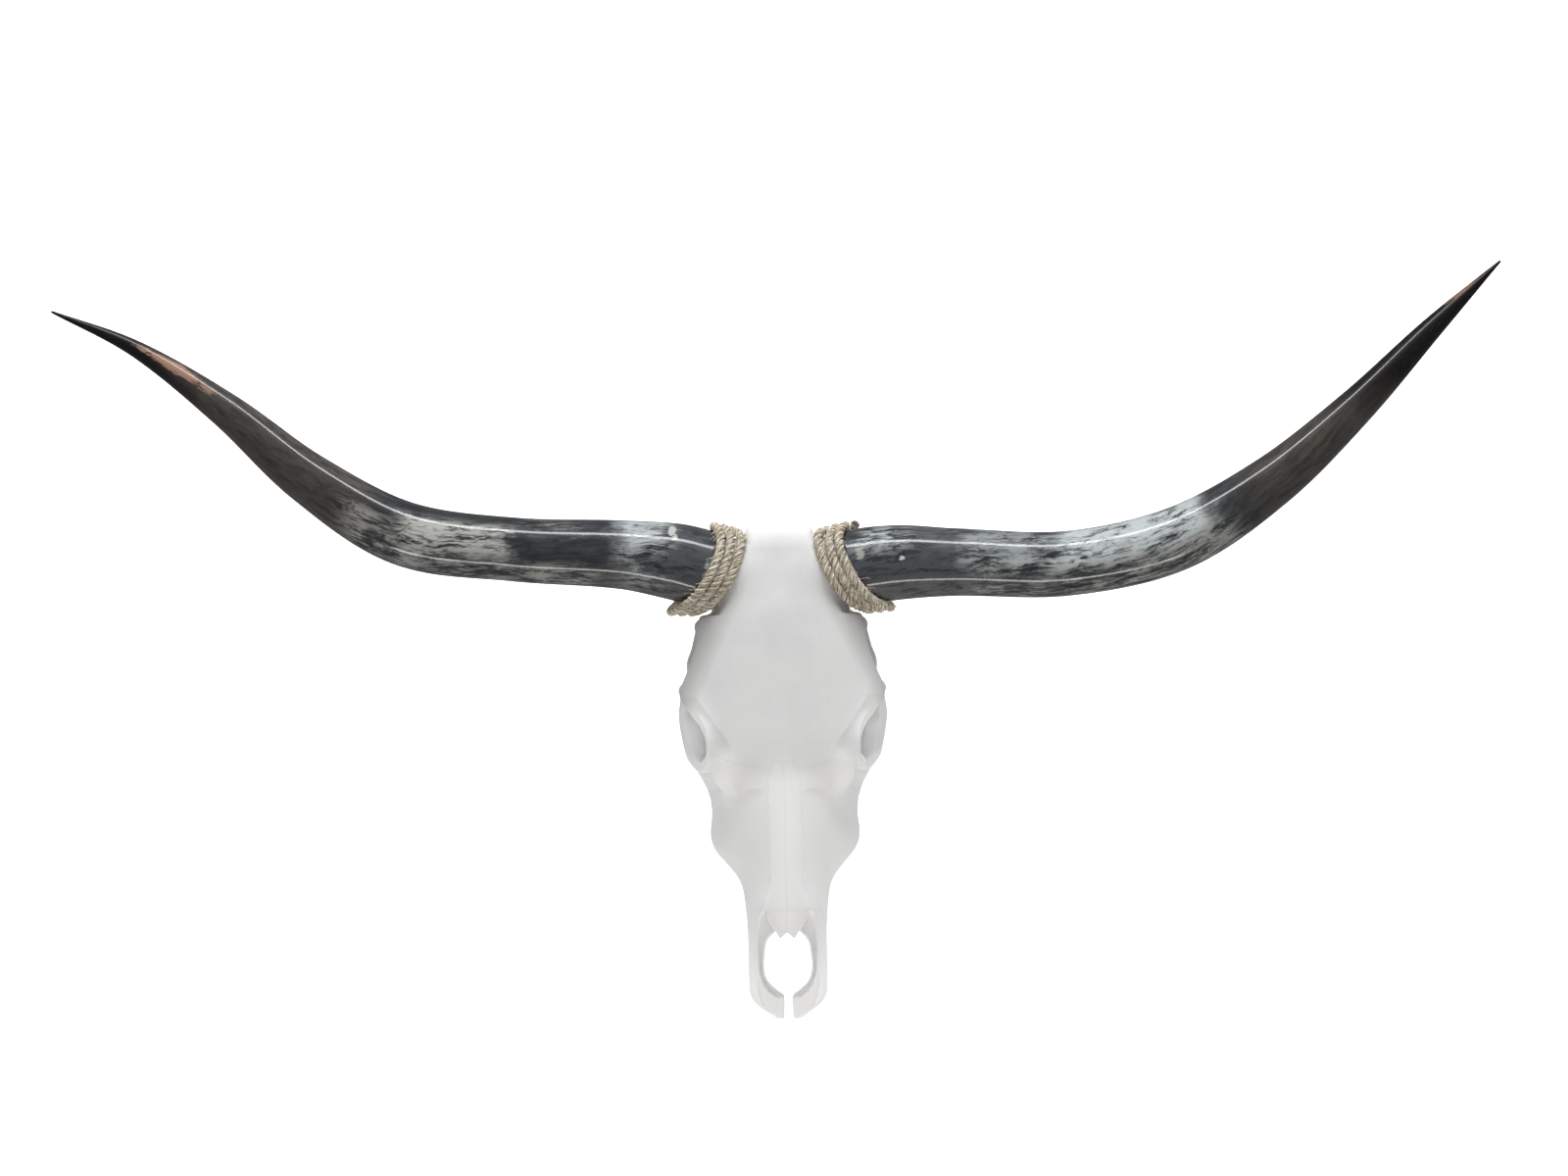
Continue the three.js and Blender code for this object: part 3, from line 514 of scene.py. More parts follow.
def nasal_region(x, s, z, side):
    """Negative where the bone is the nasal bone of this side."""
    plan = [(0, 258), (10, 256), (16, 268), (19, 290), (19, 398), (27, 414), (27, 480), (0, 480)]
    under = [(at, float(ridge_top(at)) - 9.5) for at in (240, 300, 360, 410)]
    under += [(424, float(ridge_top(424)) - 14.5), (480, float(ridge_top(480)) - 17.5)]
    profile = [(240, 30), *under, (480, 30)]
    sideways = x * side + np.where(x * side > 8, 0.5 * wander(s, 1), 0)
    return np.maximum(outline(sideways, s, plan, True), outline(s, z, profile, True))


def cheek_region(x, s, z, side):
    """Negative where the bone is the cheek bone of this side."""
    plan = [(70, 286), (78, 252), (84, 225), (84, 152), (140, 138), (140, 300), (84, 300)]
    return np.maximum(outline(x * side, s + wander(x, 3), plan, True), z + 42)


def premaxilla_region(x, s, z, side):
    """Negative where the bone is the front jaw bone of this side."""
    profile = [(420, -20), (430, -62), (482, -112), (570, -112), (570, -20)]
    return np.maximum(outline(s + wander(z, 2), z, profile, True), -x * side)


def face_region(x, s):
    """Negative in front of the suture that runs across below the orbits."""
    suture = [(-1, 262), (24, 264), (52, 258), (72, 250), (96, 241), (150, 238)]
    return outline(np.abs(x), s + wander(np.abs(x), 5), [*suture, (150, 570), (-1, 570)], True)


def bleached(x, s, z):
    """How much painted light whitens the bone: at the poll, in and by the orbits, down the face and the
    nose.
    """
    face = 0.47 * np.clip((s - 235) / 45, 0, 1) + 0.4 * np.clip((s - 450) / 60, 0, 1)
    ridge = 0.14 * np.exp(-(x / 13) ** 2) * np.clip((s - 250) / 60, 0, 1)
    spots = 0.5 * np.exp(-((np.abs(x) - 66) / 18) ** 2 - ((s - 262) / 24) ** 2)
    orbits = np.exp(-((np.abs(x) - 98) / 18) ** 2 - ((s - 226) / 34) ** 2)
    upper = 0.24 * np.exp(-(x / 34) ** 2 - ((s - 66) / 18) ** 2)
    poll = np.clip((22 - s) / 30, 0, 1) * np.clip((z + 28) / 16, 0, 1)
    return np.clip(face + ridge + spots + orbits + upper + poll, 0, 1)


def painted_rope_shadow(points):
    """How dark the painted shadow of the ropes is on the bone, below each horn."""
    shadowed = np.zeros(len(points))
    for centre, normal in RINGS.values():
        inward = (centre - points) @ normal
        shadowed = np.maximum(shadowed, np.clip(1 - (inward - ROPE_EDGE) / ROPE_SHADOW_REACH, 0, 1) * (inward > 0))
    return shadowed * np.clip((points[:, 1] - 40) / 30, 0, 1)


def make_bones():
    """The skull's field on a grid, cut at the rings and parted into its bones."""
    low = np.array([0.5 * CELL, *SKULL_LOW])
    count = [int(side / CELL) for side in SKULL_BOX]
    right = low[0] + CELL * np.arange(count[0])
    x = np.concatenate([-right[::-1], right]).astype(np.float32)[:, None, None]
    s = (low[1] + CELL * np.arange(count[1])).astype(np.float32)[None, :, None]
    z = (low[2] + CELL * np.arange(count[2])).astype(np.float32)[None, None, :]
    half = skull_distance(x[count[0]:], s, z).astype(np.float32)
    skull = np.concatenate([half[::-1], half])
    for centre, normal in RINGS.values():
        beyond = (x - centre[0]) * normal[0] + (s - centre[1]) * normal[1] + (z - centre[2]) * normal[2]
        skull = np.maximum(skull, beyond)
    names = ["cranium", "face"]
    owner = np.where(face_region(x, s) < 0, 2, 1) + np.zeros(skull.shape, np.int8)
    for kind, region in [("premaxilla", premaxilla_region), ("zygomatic", cheek_region),
                         ("nasal", nasal_region)]:
        for name, side in (("left", 1), ("right", -1)):
            names.append(f"{kind}_{name}")
            owner = np.where(region(x, s, z, side) < 0, len(names), owner)
    corner = np.array([x.min(), low[1], low[2]])
    points, outer, faces = shared_net(skull, owner, corner, CELL)
    cut = np.min([-(points - centre) @ normal for centre, normal in RINGS.values()], 0)
    for _ in range(2):
        here, normals = bone_slope(points)
        near = outer & (np.abs(here) < 0.6 * CELL) & (cut > CELL)
        points = points - normals * np.where(near, here, 0)[:, None]
    shade = np.zeros(len(points))
    for reach in HOLLOW_REACHES:
        p = (points + normals * reach).T
        shade += np.clip(1 - skull_distance(*p) / reach, 0, 1) / len(HOLLOW_REACHES)
    tooth = np.clip(1.2 - cheek_teeth(np.abs(points[:, 0]), *points[:, 1:].T), 0, 1)
    tooth *= np.clip((-116 - points[:, 2]) / 6, 0, 1)
    owners = np.zeros(len(points))
    for quads in faces.values():
        owners[np.unique(quads)] += 1
    normals = np.where((outer & (cut > CELL))[:, None], place(normals * 1000) - ORIGIN, 0)
    for k, quads in faces.items():
        used, quads = np.unique(quads, return_inverse=True)
        bone = mesh_object(
            names[k - 1], place(points[used]), quads.reshape(-1, 4)[:, ::-1], BONE, normals[used],
            hollow=shade[used], enamel=tooth[used], seam=np.minimum(owners[used] - 1, 1.0),
            bleach=bleached(*points[used].T), grime=painted_rope_shadow(points[used]))
        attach(bone, "root")
        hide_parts(names[k - 1])


make_bones()

# ----------------------------------------------------------------------------------- the horns
# Polished sheaths of horn, slate near the head, streaked with white along the middle and dark
# brown to black at the tip.  Each starts at the plane of the rope that hides its joint.
HORNS = {                                        # x, y, z and radius along each centreline
    "left": (1, [
        (48, -52, -39, 43), (83, -44, -38, 43.5), (133, -39, -37, 42.2), (196, -40, -32, 38.2),
        (319, -44, -14, 36.4), (435, -20, 12, 35.5), (534, 39, 39, 28.8), (621, 116, 62, 20.6),
        (702, 199, 75, 12), (776, 269, 77, 1.5)]),
    "right": (-1, [
        (-48, -50, -39, 43), (-84, -42, -38, 44), (-117, -33, -37, 43.3), (-177, -24, -32, 38.8),
        (-296, -16, -15, 35.8), (-411, 3, 11, 35.8), (-507, 63, 39, 28.7), (-591, 138, 62, 19.4),
        (-682, 204, 75, 9.4), (-772, 246, 77, 1.5)]),
}
HORN_SIDES, HORN_RINGS = ((128, 560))
SHEATH_GAP = 0.3                                 # between the sheath and its bony core
FACET_DEPTH = 0.25                               # keeps the round sheath inside its flat-faced solid
ROPE = {"radius": 5.0, "turns": 3, "pitch": 10.7, "lean": 25, "front": 25, "back": -8}
ROPE_ENDS = {1: (-0.03, 2.98), -1: (-0.02, 2.9)}   # where its ends lie, in turns from the top


def rope_route(side, stations, centre):
    """The rope's middle line: rings that hug the core on one side and the horn on the other."""
    lean = math.radians(ROPE["lean"])
    along = np.array([side * math.cos(lean), -math.sin(lean), 0])
    top = np.array([-side * math.sin(lean), -math.cos(lean), 0])
    turned = np.linspace(*ROPE_ENDS[side], 240)
    up, ahead = np.cos(2 * math.pi * turned)[:, None], np.sin(2 * math.pi * turned)[:, None]
    share = np.clip(0.5 + ahead / 1.4, 0, 1)
    tilt = np.radians(ROPE["back"] + (ROPE["front"] - ROPE["back"]) * share * share * (3 - 2 * share))
    out = up * top + ahead * (np.cos(tilt) * (0, 0, 1) - np.sin(tilt) * along)
    middle = centre + along * ((turned - ROPE["turns"] / 2) * ROPE["pitch"])[:, None]
    base = [np.array(station, float) * (1, -1, 1, 1) for station in stations[:4]]
    far = np.full(len(turned), 90.0)
    for _ in range(60):
        p = tuple((middle + far[:, None] * out).T)
        free = rod((np.abs(p[0]), *p[1:]), *HORN_CORE)
        for a, b in zip(base, base[1:]):
            free = np.minimum(free, rod(p, a[:3], b[:3], a[3], b[3]))
        free = free - ROPE["radius"] - 0.2
        far -= np.where(free > 0.05, free * 0.7, 0)
    for _ in range(12):
        x, s, z = (middle + far[:, None] * out).T
        sunk = np.maximum(ROPE["radius"] + 0.2 - skull_distance(np.abs(x), s, z), 0)
        far += 0.7 * sunk * (up[:, 0] > 0)
    return middle + far[:, None] * out


def horn_line(stations):
    """The centreline (x, s, z) and the radius as functions of the distance along the horn."""
    at = np.array(stations, float) * (1, -1, 1, 1)
    reach = np.concatenate([[0], np.cumsum(np.linalg.norm(np.diff(at[:, :3], axis=0), axis=1))])
    x, s, z, radius = (line(*zip(reach, at[:, i])) for i in range(4))
    return reach[-1], lambda l: np.stack([x(l), s(l), z(l)], -1), radius


def horn_spot(spot, radius, end, side, l, turn):
    """A point on the sheath: turn 0 is its top edge and a quarter turn is its front."""
    ahead = spot(np.minimum(l + 1, end)) - spot(np.maximum(l - 1, 0))
    ahead /= np.linalg.norm(ahead, axis=-1, keepdims=True)
    top = np.cross((0, 0, 1.0), ahead) * side
    top = np.where(top[..., 1:2] > 0, -top, top)
    top /= np.linalg.norm(top, axis=-1, keepdims=True)
    front = np.cross(ahead, top)
    front = np.where(front[..., 2:] < 0, -front, front)
    tip = np.sqrt(np.clip(1 - (1 - np.clip((end - l) / 3, 0, 1)) ** 2, 0, 1))
    r = ((radius(l) - FACET_DEPTH) * tip)[..., None]
    return spot(l) + r * (top * np.cos(turn)[..., None] + front * np.sin(turn)[..., None])


def horn_mesh(side, stations, ring, route):
    """Rings of points from the rope's plane to the tip, with the lie of each point."""
    end, spot, radius = horn_line(stations)
    turn = np.linspace(0, 2 * math.pi, HORN_SIDES, endpoint=False)
    l = np.linspace(0, 170, 200)[:, None] + 0 * turn
    beyond = (horn_spot(spot, radius, end, side, l, turn + 0 * l) - ring[0]) @ ring[1]
    first = np.array([np.interp(SHEATH_GAP, beyond[:, i], l[:, i]) for i in range(HORN_SIDES)])
    share = np.linspace(0, 1, HORN_RINGS)[:, None]
    l = first + (end - first) * share
    points = horn_spot(spot, radius, end, side, l, turn + 0 * l).reshape(-1, 3)
    n = len(points)
    i = np.arange(HORN_SIDES)
    j = np.roll(i, -1)
    rows = HORN_SIDES * np.arange(HORN_RINGS - 1)[:, None]
    faces = np.stack([rows + i, rows + j, rows + HORN_SIDES + j, rows + HORN_SIDES + i], -1)
    faces = faces.reshape(-1, 4).tolist()
    last = n - HORN_SIDES
    faces += [[b, a, n] for a, b in zip(i, j)]
    faces += [[last + a, last + b, n + 1] for a, b in zip(i, j)]
    points = np.concatenate([points, [points[:HORN_SIDES].mean(0)], [points[last:].mean(0)]])
    l = np.concatenate([l.ravel(), [l[0].mean(), end]])
    turn = np.concatenate([np.tile(turn, HORN_RINGS), [0, 0]])
    if side < 0:
        faces = [face[::-1] for face in faces]
    r = radius(l)
    apart = np.full(len(points), 99.0)
    for bit in route[::3]:
        apart = np.minimum(apart, np.linalg.norm(points - bit, axis=1))
    # Painted shadow: nearness to the rope, for the dark crevice where the horn meets it.
    rope_crevice_shade = np.clip(1 - (apart - ROPE["radius"]) / 5, 0, 1)
    lie = np.stack([np.cos(turn), np.sin(turn), l / 1000], 1)
    twist = turn + side * l * 0.0022
    grain = np.stack([r * np.cos(twist), r * np.sin(twist), l], 1) / 1000
    return points, faces, {"lie": lie, "grain": grain, "rope_crevice_shade": rope_crevice_shade}


def horn_paint(name, zones):
    """Polished horn. Zones say where along the sheath each tone lies, in metres."""
    material, tree = new_paint(name)
    grain = tree.attribute("grain", "Vector")
    split = tree.node("ShaderNodeSeparateXYZ", None, {0: tree.attribute("lie", "Vector")})
    top, along = split, tree.outlet(split, 2)
    blotch = tree.noise(grain, 26.0, 3.0, 0.55)
    warped = tree.node("ShaderNodeVectorMath", {"operation": "MULTIPLY_ADD"},
                       {0: tree.outlet(blotch, 1), 1: (0.012, 0.012, 0.05), 2: grain})
    streaks = tree.noise(tree.stretch(warped, (1.0, 1.0, 0.16)), 190.0, 6.0, 0.68)
    fine = tree.noise(tree.stretch(warped, (1.0, 1.0, 0.12)), 620.0, 4.0, 0.6)
    edge = along + (blotch - 0.5) * 0.06 + (streaks - 0.5) * 0.03

    def band(start, end, soft):
        rise = tree.step(edge, start - soft, start + soft)
        return rise * (1.0 - tree.step(edge, end - soft, end + soft))

    slate = tree.mix(tree.step(streaks, 0.35, 0.75), (0.012, 0.0135, 0.016, 1), (0.040, 0.044, 0.050, 1))
    brown = tree.mix(tree.step(streaks, 0.3, 0.7), (0.024, 0.020, 0.017, 1), (0.060, 0.052, 0.046, 1))
    black = tree.mix(tree.step(fine, 0.5, 0.75), (0.003, 0.002, 0.003, 1), (0.020, 0.014, 0.013, 1))
    start, end = zones["brown"]
    colour = tree.mix(tree.step(edge, start, end), slate, brown)
    start, end = zones["black"]
    colour = tree.mix(tree.step(edge + top * zones["slant"], start, end), colour, black)
    for start, end, low, high, strength, bare, tone in zones["pale"]:
        cloud = tree.step(streaks * 0.5 + fine * 0.3 + blotch * 0.2, bare - 0.05, bare + 0.09)
        where = band(start, end, 0.014) * tree.step(top, low - 0.3, low + 0.3)
        where = where * (1.0 - tree.step(top, high - 0.2, high + 0.2))
        colour = tree.mix(where * cloud * strength, colour, tone)
    for at, height, wide, tall, tone in zones["marks"]:
        u, v = (along - at) / wide, (top - height) / tall
        near = u * u + v * v + (fine - 0.5) * 2.6 + (blotch - 0.5) * 2.0
        colour = tree.mix((1.0 - tree.step(near, 0.4, 0.8)) * 0.8, colour, tone)
    rope_crevice_shade = tree.attribute("rope_crevice_shade")
    # Painted shadow: the horn goes nearly black in the crevice beside the rope.
    colour = tree.mix(tree.step(rope_crevice_shade + fine * 0.5, 0.55, 1.0), colour, (0.006, 0.005, 0.004, 1))
    height = streaks * 0.5 + tree.noise(grain, 60.0, 3.0) * 0.8
    bump = tree.node("ShaderNodeBump", None, {"Strength": 0.14, "Distance": 0.001, "Height": height})
    shine = 1.0 - tree.step(along, 0.60, 0.80) * 0.55
    tree.surface(base_color=colour, roughness=0.36 + streaks * 0.12, normal=bump,
                 specular_ior_level=0.3, coat_weight=shine * 0.85, coat_roughness=0.07)
    return material


WHITE_HORN = (0.46, 0.49, 0.49, 1)
CREAM_HORN = (0.40, 0.40, 0.37, 1)
GREY_HORN = (0.13, 0.13, 0.12, 1)
SLATE_HORN = (0.065, 0.070, 0.076, 1)
# Brown and black: where each tone sets in along the sheath, in metres, and how the black slants.
# Pale zones: from, to, lowest and highest place across the sheath (-1 its lower edge, 1 its upper
# edge), strength, share left bare, tone.  Marks: place along and across, half-sizes, tone.
HORN_ZONES = {
    "left": {
        "brown": (0.44, 0.54), "black": (0.60, 0.69), "slant": 0.03,
        "pale": [
            (-0.10, 0.270, -1.4, 1.4, 0.75, 0.44, SLATE_HORN),
            (0.030, 0.180, -1.3, -0.60, 0.6, 0.44, GREY_HORN),
            (0.045, 0.100, 0.35, 1.3, 0.70, 0.50, WHITE_HORN),
            (0.100, 0.150, 0.3, 1.3, 0.45, 0.52, GREY_HORN),
            (0.160, 0.290, -0.2, 1.3, 0.42, 0.49, WHITE_HORN),
            (0.180, 0.300, -1.3, 0.2, 0.50, 0.52, CREAM_HORN),
            (0.270, 0.445, -0.15, 1.3, 0.85, 0.44, WHITE_HORN),
            (0.300, 0.460, -1.3, 0.0, 0.65, 0.49, CREAM_HORN),
        ],
        "marks": [
            (0.044, 0.35, 0.006, 0.22, (0.33, 0.33, 0.30, 1)),
            (0.090, 0.10, 0.004, 0.07, (0.50, 0.52, 0.52, 1)),
            (0.800, 0.85, 0.030, 0.22, (0.22, 0.10, 0.05, 1)),
        ],
    },
    "right": {
        "brown": (0.38, 0.46), "black": (0.62, 0.72), "slant": -0.06,
        "pale": [
            (-0.10, 0.140, -1.4, 1.4, 0.75, 0.44, SLATE_HORN),
            (0.030, 0.260, -1.3, -0.6, 0.6, 0.46, GREY_HORN),
            (0.085, 0.140, 0.15, 1.3, 0.75, 0.46, WHITE_HORN),
            (0.095, 0.140, -0.8, 0.2, 0.45, 0.51, WHITE_HORN),
            (0.170, 0.245, 0.55, 1.3, 0.50, 0.53, CREAM_HORN),
            (0.170, 0.260, -1.3, -0.4, 0.50, 0.51, CREAM_HORN),
            (0.255, 0.385, -0.30, 0.65, 0.88, 0.46, CREAM_HORN),
            (0.330, 0.450, -0.70, 0.30, 0.50, 0.50, CREAM_HORN),
            (0.258, 0.430, -1.3, -0.3, 0.45, 0.50, CREAM_HORN),
            (0.420, 0.640, 0.70, 1.4, 0.35, 0.50, GREY_HORN),
        ],
        "marks": [
            (0.080, 0.78, 0.005, 0.16, (0.48, 0.47, 0.44, 1)),
            (0.076, 0.60, 0.004, 0.10, (0.48, 0.47, 0.44, 1)),
            (0.034, 0.10, 0.005, 0.12, (0.33, 0.34, 0.33, 1)),
            (0.672, 0.45, 0.055, 0.45, (0.30, 0.17, 0.12, 1)),
        ],
    },
}
ROUTES = {name: rope_route(side, stations, RINGS[name][0]) for name, (side, stations) in HORNS.items()}
for name, (side, stations) in HORNS.items():
    points, faces, fields = horn_mesh(side, stations, RINGS[name], ROUTES[name])
    paint = horn_paint(f"polished horn {name}", HORN_ZONES[name])
    horn = mesh_object(f"horn_{name}", place(points), faces, paint, **fields)
    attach(horn, "root")
    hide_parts(f"horn_{name}")

# ----------------------------------------------------------------------------------- the ropes
# Three turns of three-strand sisal cord round each horn's base, taut over the high spots, with
# short fibres standing out of the strands and one frayed end on the top side.
STRAND_RADIUS = 0.0025
STRAND_OFFSET = 0.00265
STRAND_LAY = 0.0215
FIBRE_RADIUS = 0.0002
FIBRES = 42000.0                                 # loose ones on a square metre of strand


def rope_paint():
    """Sisal: straw-coloured yarns, darker and browner down in the lay, where the shade between the strands
    is painted.
    """
    material, tree = new_paint("sisal")
    spot = tree.node("ShaderNodeTexCoord", None, None, "Object")
    around = tree.node("ShaderNodeSeparateXYZ", None, {0: tree.attribute("yarn", "Vector")})
    across = tree.outlet(around, 1)
    angle = across.maths("ARCTAN2", across, around)
    run = tree.outlet(around, 2)
    fuzz = tree.noise(spot, 900.0, 3.0, 0.6)
    phase = angle * 4.0 - run * 800.0 + fuzz * 4.0
    yarn = phase.maths("SINE", phase) * 0.5 + 0.5
    patch = tree.noise(spot, 170.0, 4.0, 0.6)
    colour = tree.mix(tree.step(patch, 0.38, 0.62), (0.45, 0.39, 0.30, 1), (0.78, 0.73, 0.63, 1))
    colour = tree.mix((1.0 - yarn) * 0.65, colour, (0.15, 0.105, 0.06, 1))
    # Painted shade down in the lay between the strands.
    colour = tree.mix(tree.attribute("lay_shade") * 0.9, colour, (0.045, 0.028, 0.016, 1))
    height = yarn + fuzz * 1.2
    bump = tree.node("ShaderNodeBump", None, {"Strength": 1.0, "Distance": 0.0005, "Height": height})
    tree.surface(base_color=colour, roughness=0.85, normal=bump, specular_ior_level=0.2)
    return material


def fibre_paint():
    """The loose fibres, paler than the strands."""
    material, tree = new_paint("sisal fibre")
    spot = tree.node("ShaderNodeTexCoord", None, None, "Object")
    tone = tree.noise(spot, 400.0, 1.0)
    colour = tree.mix(tree.step(tone, 0.35, 0.65), (0.50, 0.43, 0.31, 1), (0.82, 0.77, 0.67, 1))
    tree.surface(base_color=colour, roughness=0.8, specular_ior_level=0.2)
    return material


def node_group(name, inputs):
    """An empty Geometry Nodes group with these named number inputs, and its input node."""
    group = bpy.data.node_groups.new(name, "GeometryNodeTree")
    group.interface.new_socket("Geometry", in_out="OUTPUT", socket_type="NodeSocketGeometry")
    group.interface.new_socket("Geometry", in_out="INPUT", socket_type="NodeSocketGeometry")
    sockets = {}
    for key, kind in inputs.items():
        sockets[key] = group.interface.new_socket(key, in_out="INPUT", socket_type=kind)
    tree = Tree(group)
    entry = tree.node("NodeGroupInput")
    return group, tree, entry, {key: socket.identifier for key, socket in sockets.items()}


def vector_maths(tree, operation, a, b, out=0):
    """A vector sum of a and b, or a scaled by the number b."""
    slot = 3 if operation == "SCALE" else 1
    return tree.node("ShaderNodeVectorMath", {"operation": operation}, {0: a, slot: b}, out)


def capture(tree, geometry, **fields):
    """Keeps these fields' values on a geometry; returns it and the values kept."""
    kept = tree.node("GeometryNodeCaptureAttribute", None, {"Geometry": geometry})
    node = kept.socket.node
    for name, (kind, _) in fields.items():
        node.capture_items.new(kind, name)
    for name, (_, wire) in fields.items():
        tree.tree.links.new(wire.socket, node.inputs[name])
    return [kept] + [tree.outlet(kept, name) for name in fields]


def store(tree, geometry, name, kind, value):
    """Names a value on the points, for the paint to read."""
    return tree.node("GeometryNodeStoreNamedAttribute", {"data_type": kind, "domain": "POINT"},
                     {"Geometry": geometry, "Name": name, "Value": value})


def join(tree, first, second):
    """Both geometries as one."""
    both = tree.node("GeometryNodeJoinGeometry", None, {0: first})
    tree.tree.links.new(second.socket, both.socket.node.inputs[0])
    return both


def standing(tree, points, fibre, ahead, spread, sizes, bunching, seed):
    """A copy of the fibre at each point, turned up to spread away from the way ahead."""
    turn = tree.node("FunctionNodeAlignRotationToVector", {"axis": "X"}, {"Vector": ahead})
    least = tuple(-angle for angle in spread)
    angles = tree.node("FunctionNodeRandomValue", {"data_type": "FLOAT_VECTOR"},
                       {0: least, 1: spread, "Seed": seed})
    tilt = tree.node("FunctionNodeEulerToRotation", None, {0: angles})
    turn = tree.node("FunctionNodeRotateRotation", {"rotation_space": "LOCAL"},
                     {"Rotation": turn, "Rotate By": tilt})
    share = tree.node("FunctionNodeRandomValue", {"data_type": "FLOAT"}, {2: 0.0, 3: 1.0, "Seed": seed}, 1)
    size = share.maths("POWER", share, bunching) * (sizes[1] - sizes[0]) + sizes[0]
    return tree.node("GeometryNodeInstanceOnPoints", None,
                     {"Points": points, "Instance": fibre, "Rotation": turn, "Scale": size})


def rope_nodes(material, hair):
    """Lays three strands round the route and sets fibres along them and at the frayed end.

    The strands keep each point's run along the rope, the way ahead, the way out of the rope and
    the rope's heart, for the paint and for the lie of the fibres.
    """
    kinds = {"Seed": "NodeSocketInt", "Frayed End": "NodeSocketFloat", "Fibres": "NodeSocketFloat"}
    group, tree, entry, names = node_group("rope from its route", kinds)
    seed, frayed, fibres = (tree.outlet(entry, key) for key in kinds)
    curve = tree.node("GeometryNodeMeshToCurve", None, {0: entry})
    curve = tree.node("GeometryNodeResampleCurve", {"mode": "LENGTH"}, {"Curve": curve, "Length": 0.0012})
    twin = tree.node("GeometryNodeDuplicateElements", {"domain": "SPLINE"}, {"Geometry": curve, "Amount": 3})
    which = tree.outlet(twin, 1)

    run = tree.node("GeometryNodeSplineParameter", None, None, 1)
    place_here = tree.node("GeometryNodeInputPosition")
    wobble = tree.noise(place_here, 90.0, 1.0)
    angle = (run / STRAND_LAY + which / 3.0) * (2 * math.pi) + wobble * 1.6
    normal = tree.node("GeometryNodeInputNormal")
    ahead = tree.node("GeometryNodeInputTangent")
    other = vector_maths(tree, "CROSS_PRODUCT", ahead, normal)
    cosine, sine = angle.maths("COSINE", angle), angle.maths("SINE", angle)
    outward = vector_maths(tree, "ADD", vector_maths(tree, "SCALE", normal, cosine * STRAND_OFFSET),
                           vector_maths(tree, "SCALE", other, sine * STRAND_OFFSET))
    twin, run, ahead, outward = capture(tree, twin, Run=("FLOAT", run), Ahead=("VECTOR", ahead),
                                        Out=("VECTOR", outward))
    strands = tree.node("GeometryNodeSetPosition", None, {"Geometry": twin, "Offset": outward})
    heart = vector_maths(tree, "SUBTRACT", place_here, outward)
    strands, heart = capture(tree, strands, Heart=("VECTOR", heart))
    uneven = tree.noise(place_here, 260.0, 2.0) * 0.7 + 0.65
    strands = tree.node("GeometryNodeSetCurveRadius", None, {"Curve": strands, "Radius": uneven})

    profile = tree.node("GeometryNodeCurvePrimitiveCircle", None,
                        {"Resolution": 12, "Radius": STRAND_RADIUS})
    profile, around = capture(tree, profile, Around=("VECTOR", place_here))
    body = tree.node("GeometryNodeCurveToMesh", None,
                     {"Curve": strands, "Profile Curve": profile, "Fill Caps": True})
    split = tree.node("ShaderNodeSeparateXYZ", None, {0: around})
    yarn = tree.node("ShaderNodeCombineXYZ", None, {0: split, 1: tree.outlet(split, 1), 2: run})
    body = store(tree, body, "yarn", "FLOAT_VECTOR", yarn)
    off = vector_maths(tree, "DISTANCE", place_here, heart, 1)
    # How far down in the lay between the strands a point lies, for the painted shade there.
    lay_shade = 1.0 - tree.step(off, STRAND_OFFSET + STRAND_RADIUS * 0.1, STRAND_OFFSET + STRAND_RADIUS * 0.85)
    body = store(tree, body, "lay_shade", "FLOAT", lay_shade)
    body = tree.node("GeometryNodeSetShadeSmooth", None, {0: body})
    body = tree.node("GeometryNodeSetMaterial", None, {"Geometry": body, "Material": material})

    fibre = tree.node("GeometryNodeCurvePrimitiveBezierSegment", None, {
        "Resolution": 6, "Start": (0, 0, 0), "Start Handle": (0.002, 0, 0.0006),
        "End Handle": (0.005, 0.0012, 0.0014), "End": (0.0085, -0.0004, 0.0012)})
    dots = tree.node("GeometryNodeDistributePointsOnFaces", None,
                     {"Mesh": body, "Density": fibres, "Seed": seed})
    loose = standing(tree, dots, fibre, ahead, (1.1, 0.9, 0.9), (0.4, 1.9), 3.0, seed)

    ends = tree.node("GeometryNodeCurveEndpointSelection", None,
                     {"Start Size": 1.0 - frayed, "End Size": frayed})
    tips = tree.node("GeometryNodeCurveToPoints", {"mode": "EVALUATED"}, {"Curve": strands})
    tips = tree.node("GeometryNodeSeparateGeometry", {"domain": "POINT"},
                     {"Geometry": tips, "Selection": ends})
    tips = tree.node("GeometryNodeDuplicateElements", {"domain": "POINT"}, {"Geometry": tips, "Amount": 26})
    outer = vector_maths(tree, "SCALE", ahead, frayed * 2.0 - 1.0)
    brush = standing(tree, tips, fibre, outer, (3.1, 0.7, 0.7), (0.5, 1.2), 1.0, seed)

    hairs = tree.node("GeometryNodeRealizeInstances", None, {0: join(tree, loose, brush)})
    thin = tree.node("GeometryNodeCurvePrimitiveCircle", None, {"Resolution": 3, "Radius": FIBRE_RADIUS})
    hairs = tree.node("GeometryNodeCurveToMesh", None, {"Curve": hairs, "Profile Curve": thin})
    hairs = tree.node("GeometryNodeSetMaterial", None, {"Geometry": hairs, "Material": hair})
    whole = tree.node("GeometryNodeRealizeInstances", None, {0: join(tree, body, hairs)})
    tree.node("NodeGroupOutput", None, {0: whole})
    return group, names


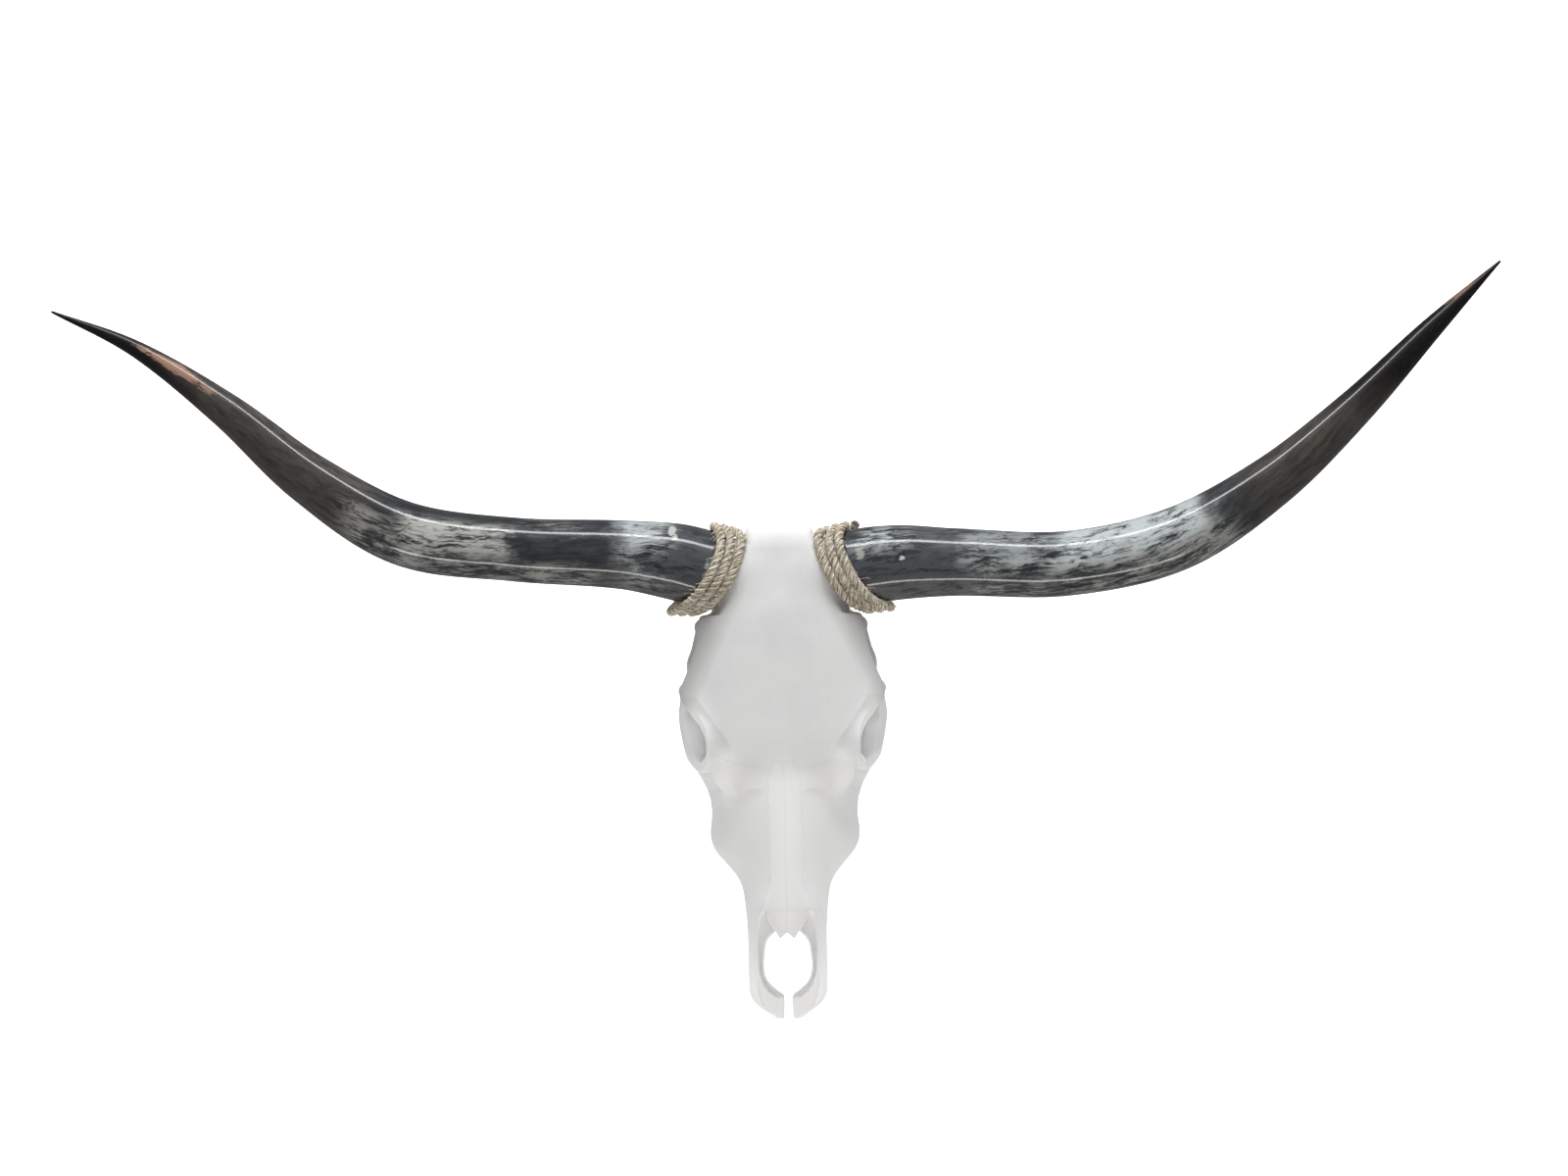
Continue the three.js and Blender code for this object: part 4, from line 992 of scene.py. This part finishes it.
def rope_object(name, route, group, names, seed, frayed):
    """A rope grown along its route by Geometry Nodes, then kept as a plain mesh."""
    line_mesh = bpy.data.meshes.new(f"{name} route")
    line_mesh.from_pydata(route, [(i, i + 1) for i in range(len(route) - 1)], [])
    holder = bpy.data.objects.new(f"{name} route", line_mesh)
    bpy.context.scene.collection.objects.link(holder)
    modifier = holder.modifiers.new("rope", "NODES")
    modifier.node_group = group
    modifier[names["Seed"]] = seed
    modifier[names["Frayed End"]] = frayed
    modifier[names["Fibres"]] = FIBRES
    bpy.context.view_layer.update()
    grown = holder.evaluated_get(bpy.context.evaluated_depsgraph_get())
    mesh = bpy.data.meshes.new_from_object(grown)
    mesh.name = name
    rope = bpy.data.objects.new(name, mesh)
    bpy.context.scene.collection.objects.link(rope)
    bpy.data.objects.remove(holder)
    return rope


group, names = rope_nodes(rope_paint(), fibre_paint())
for name, (side, _) in HORNS.items():
    rope = rope_object(f"rope_{name}", place(ROUTES[name]), group, names, 3 + side, float(side > 0))
    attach(rope, "root")
    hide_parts(f"rope_{name}")

# ---------------------------------------------------------------------------- floor and light
# A plain white floor that glows a little and a soft white sky.  Two long strips, past the poll and
# past the nose, draw the thin highlights along the horns.  Two softer lamps, past the poll and
# above the forehead, shade the bone and leave no glint.
floor_mesh = bpy.data.meshes.new("floor")
floor_mesh.from_pydata([(-9, -9, 0), (9, -9, 0), (9, 9, 0), (-9, 9, 0)], [], [(0, 1, 2, 3)])
floor_paint, tree = new_paint("white floor")
tree.surface(base_color=(0.93, 0.93, 0.93, 1), roughness=0.9, specular_ior_level=0.1,
             emission_color=(1, 1, 1, 1), emission_strength=0.75)
floor_mesh.materials.append(floor_paint)
floor = bpy.data.objects.new("floor", floor_mesh)
floor.visible_glossy = False
bpy.context.scene.collection.objects.link(floor)

world = bpy.data.worlds.new("white room")
world.use_nodes = True
world.node_tree.nodes["Background"].inputs["Color"].default_value = (1, 1, 1, 1)
world.node_tree.nodes["Background"].inputs["Strength"].default_value = 0.14
bpy.context.scene.world = world


def lamp(name, spot, aim, size, radiance, colour):
    """A flat lamp of this size (along x, and across), as bright as radiance times white."""
    light = bpy.data.lights.new(name, "AREA")
    light.shape = "RECTANGLE"
    light.size, light.size_y = size
    light.energy = radiance * math.pi * size[0] * size[1]
    light.color = colour
    made = bpy.data.objects.new(name, light)
    made.location = spot
    made.rotation_mode = "QUATERNION"
    made.rotation_quaternion = (Vector(aim) - Vector(spot)).to_track_quat("-Z", "Y")
    bpy.context.scene.collection.objects.link(made)
    return made


lamp("poll strip", (0, 2.5, 1.47), (0, 0.1, 0.2), (3.0, 0.40), 13.0, (0.95, 0.98, 1))
lamp("nose strip", (0, -1.35, 0.75), (0, -0.1, 0.15), (1.6, 0.16), 9.0, (1, 0.97, 0.93))
for name, above, size, radiance in [("key", (0.1, 2.3, 1.75), (0.5, 0.4), 62.0),
                                    ("front", (0, -0.2, 3.6), (1.2, 1.2), 10.8)]:
    lamp(name, above, (0, 0, 0.2), size, radiance, (1, 1, 1)).visible_glossy = False

# ------------------------------------------------------------------------------------- camera
# Looks straight down on the forehead from 2.4 m, a little turned about its own axis.
TURN = math.radians(1.17)
view_frame = Matrix.Rotation(PITCH, 3, "X")
right = view_frame @ Vector((math.cos(TURN), -math.sin(TURN), 0))
up = view_frame @ Vector((math.sin(TURN), math.cos(TURN), 0))
back = view_frame @ Vector((0, 0, 1))
spot = Vector(place([(4.2, 65, 2400)])[0])
camera_data = bpy.data.cameras.new("camera")
camera_data.lens = 50
camera_data.sensor_width = 36
camera = bpy.data.objects.new("camera", camera_data)
camera.matrix_world = Matrix((
    (right.x, up.x, back.x, spot.x), (right.y, up.y, back.y, spot.y),
    (right.z, up.z, back.z, spot.z), (0, 0, 0, 1)))
bpy.context.scene.collection.objects.link(camera)
bpy.context.scene.camera = camera
bpy.context.scene.view_settings.view_transform = "Standard"
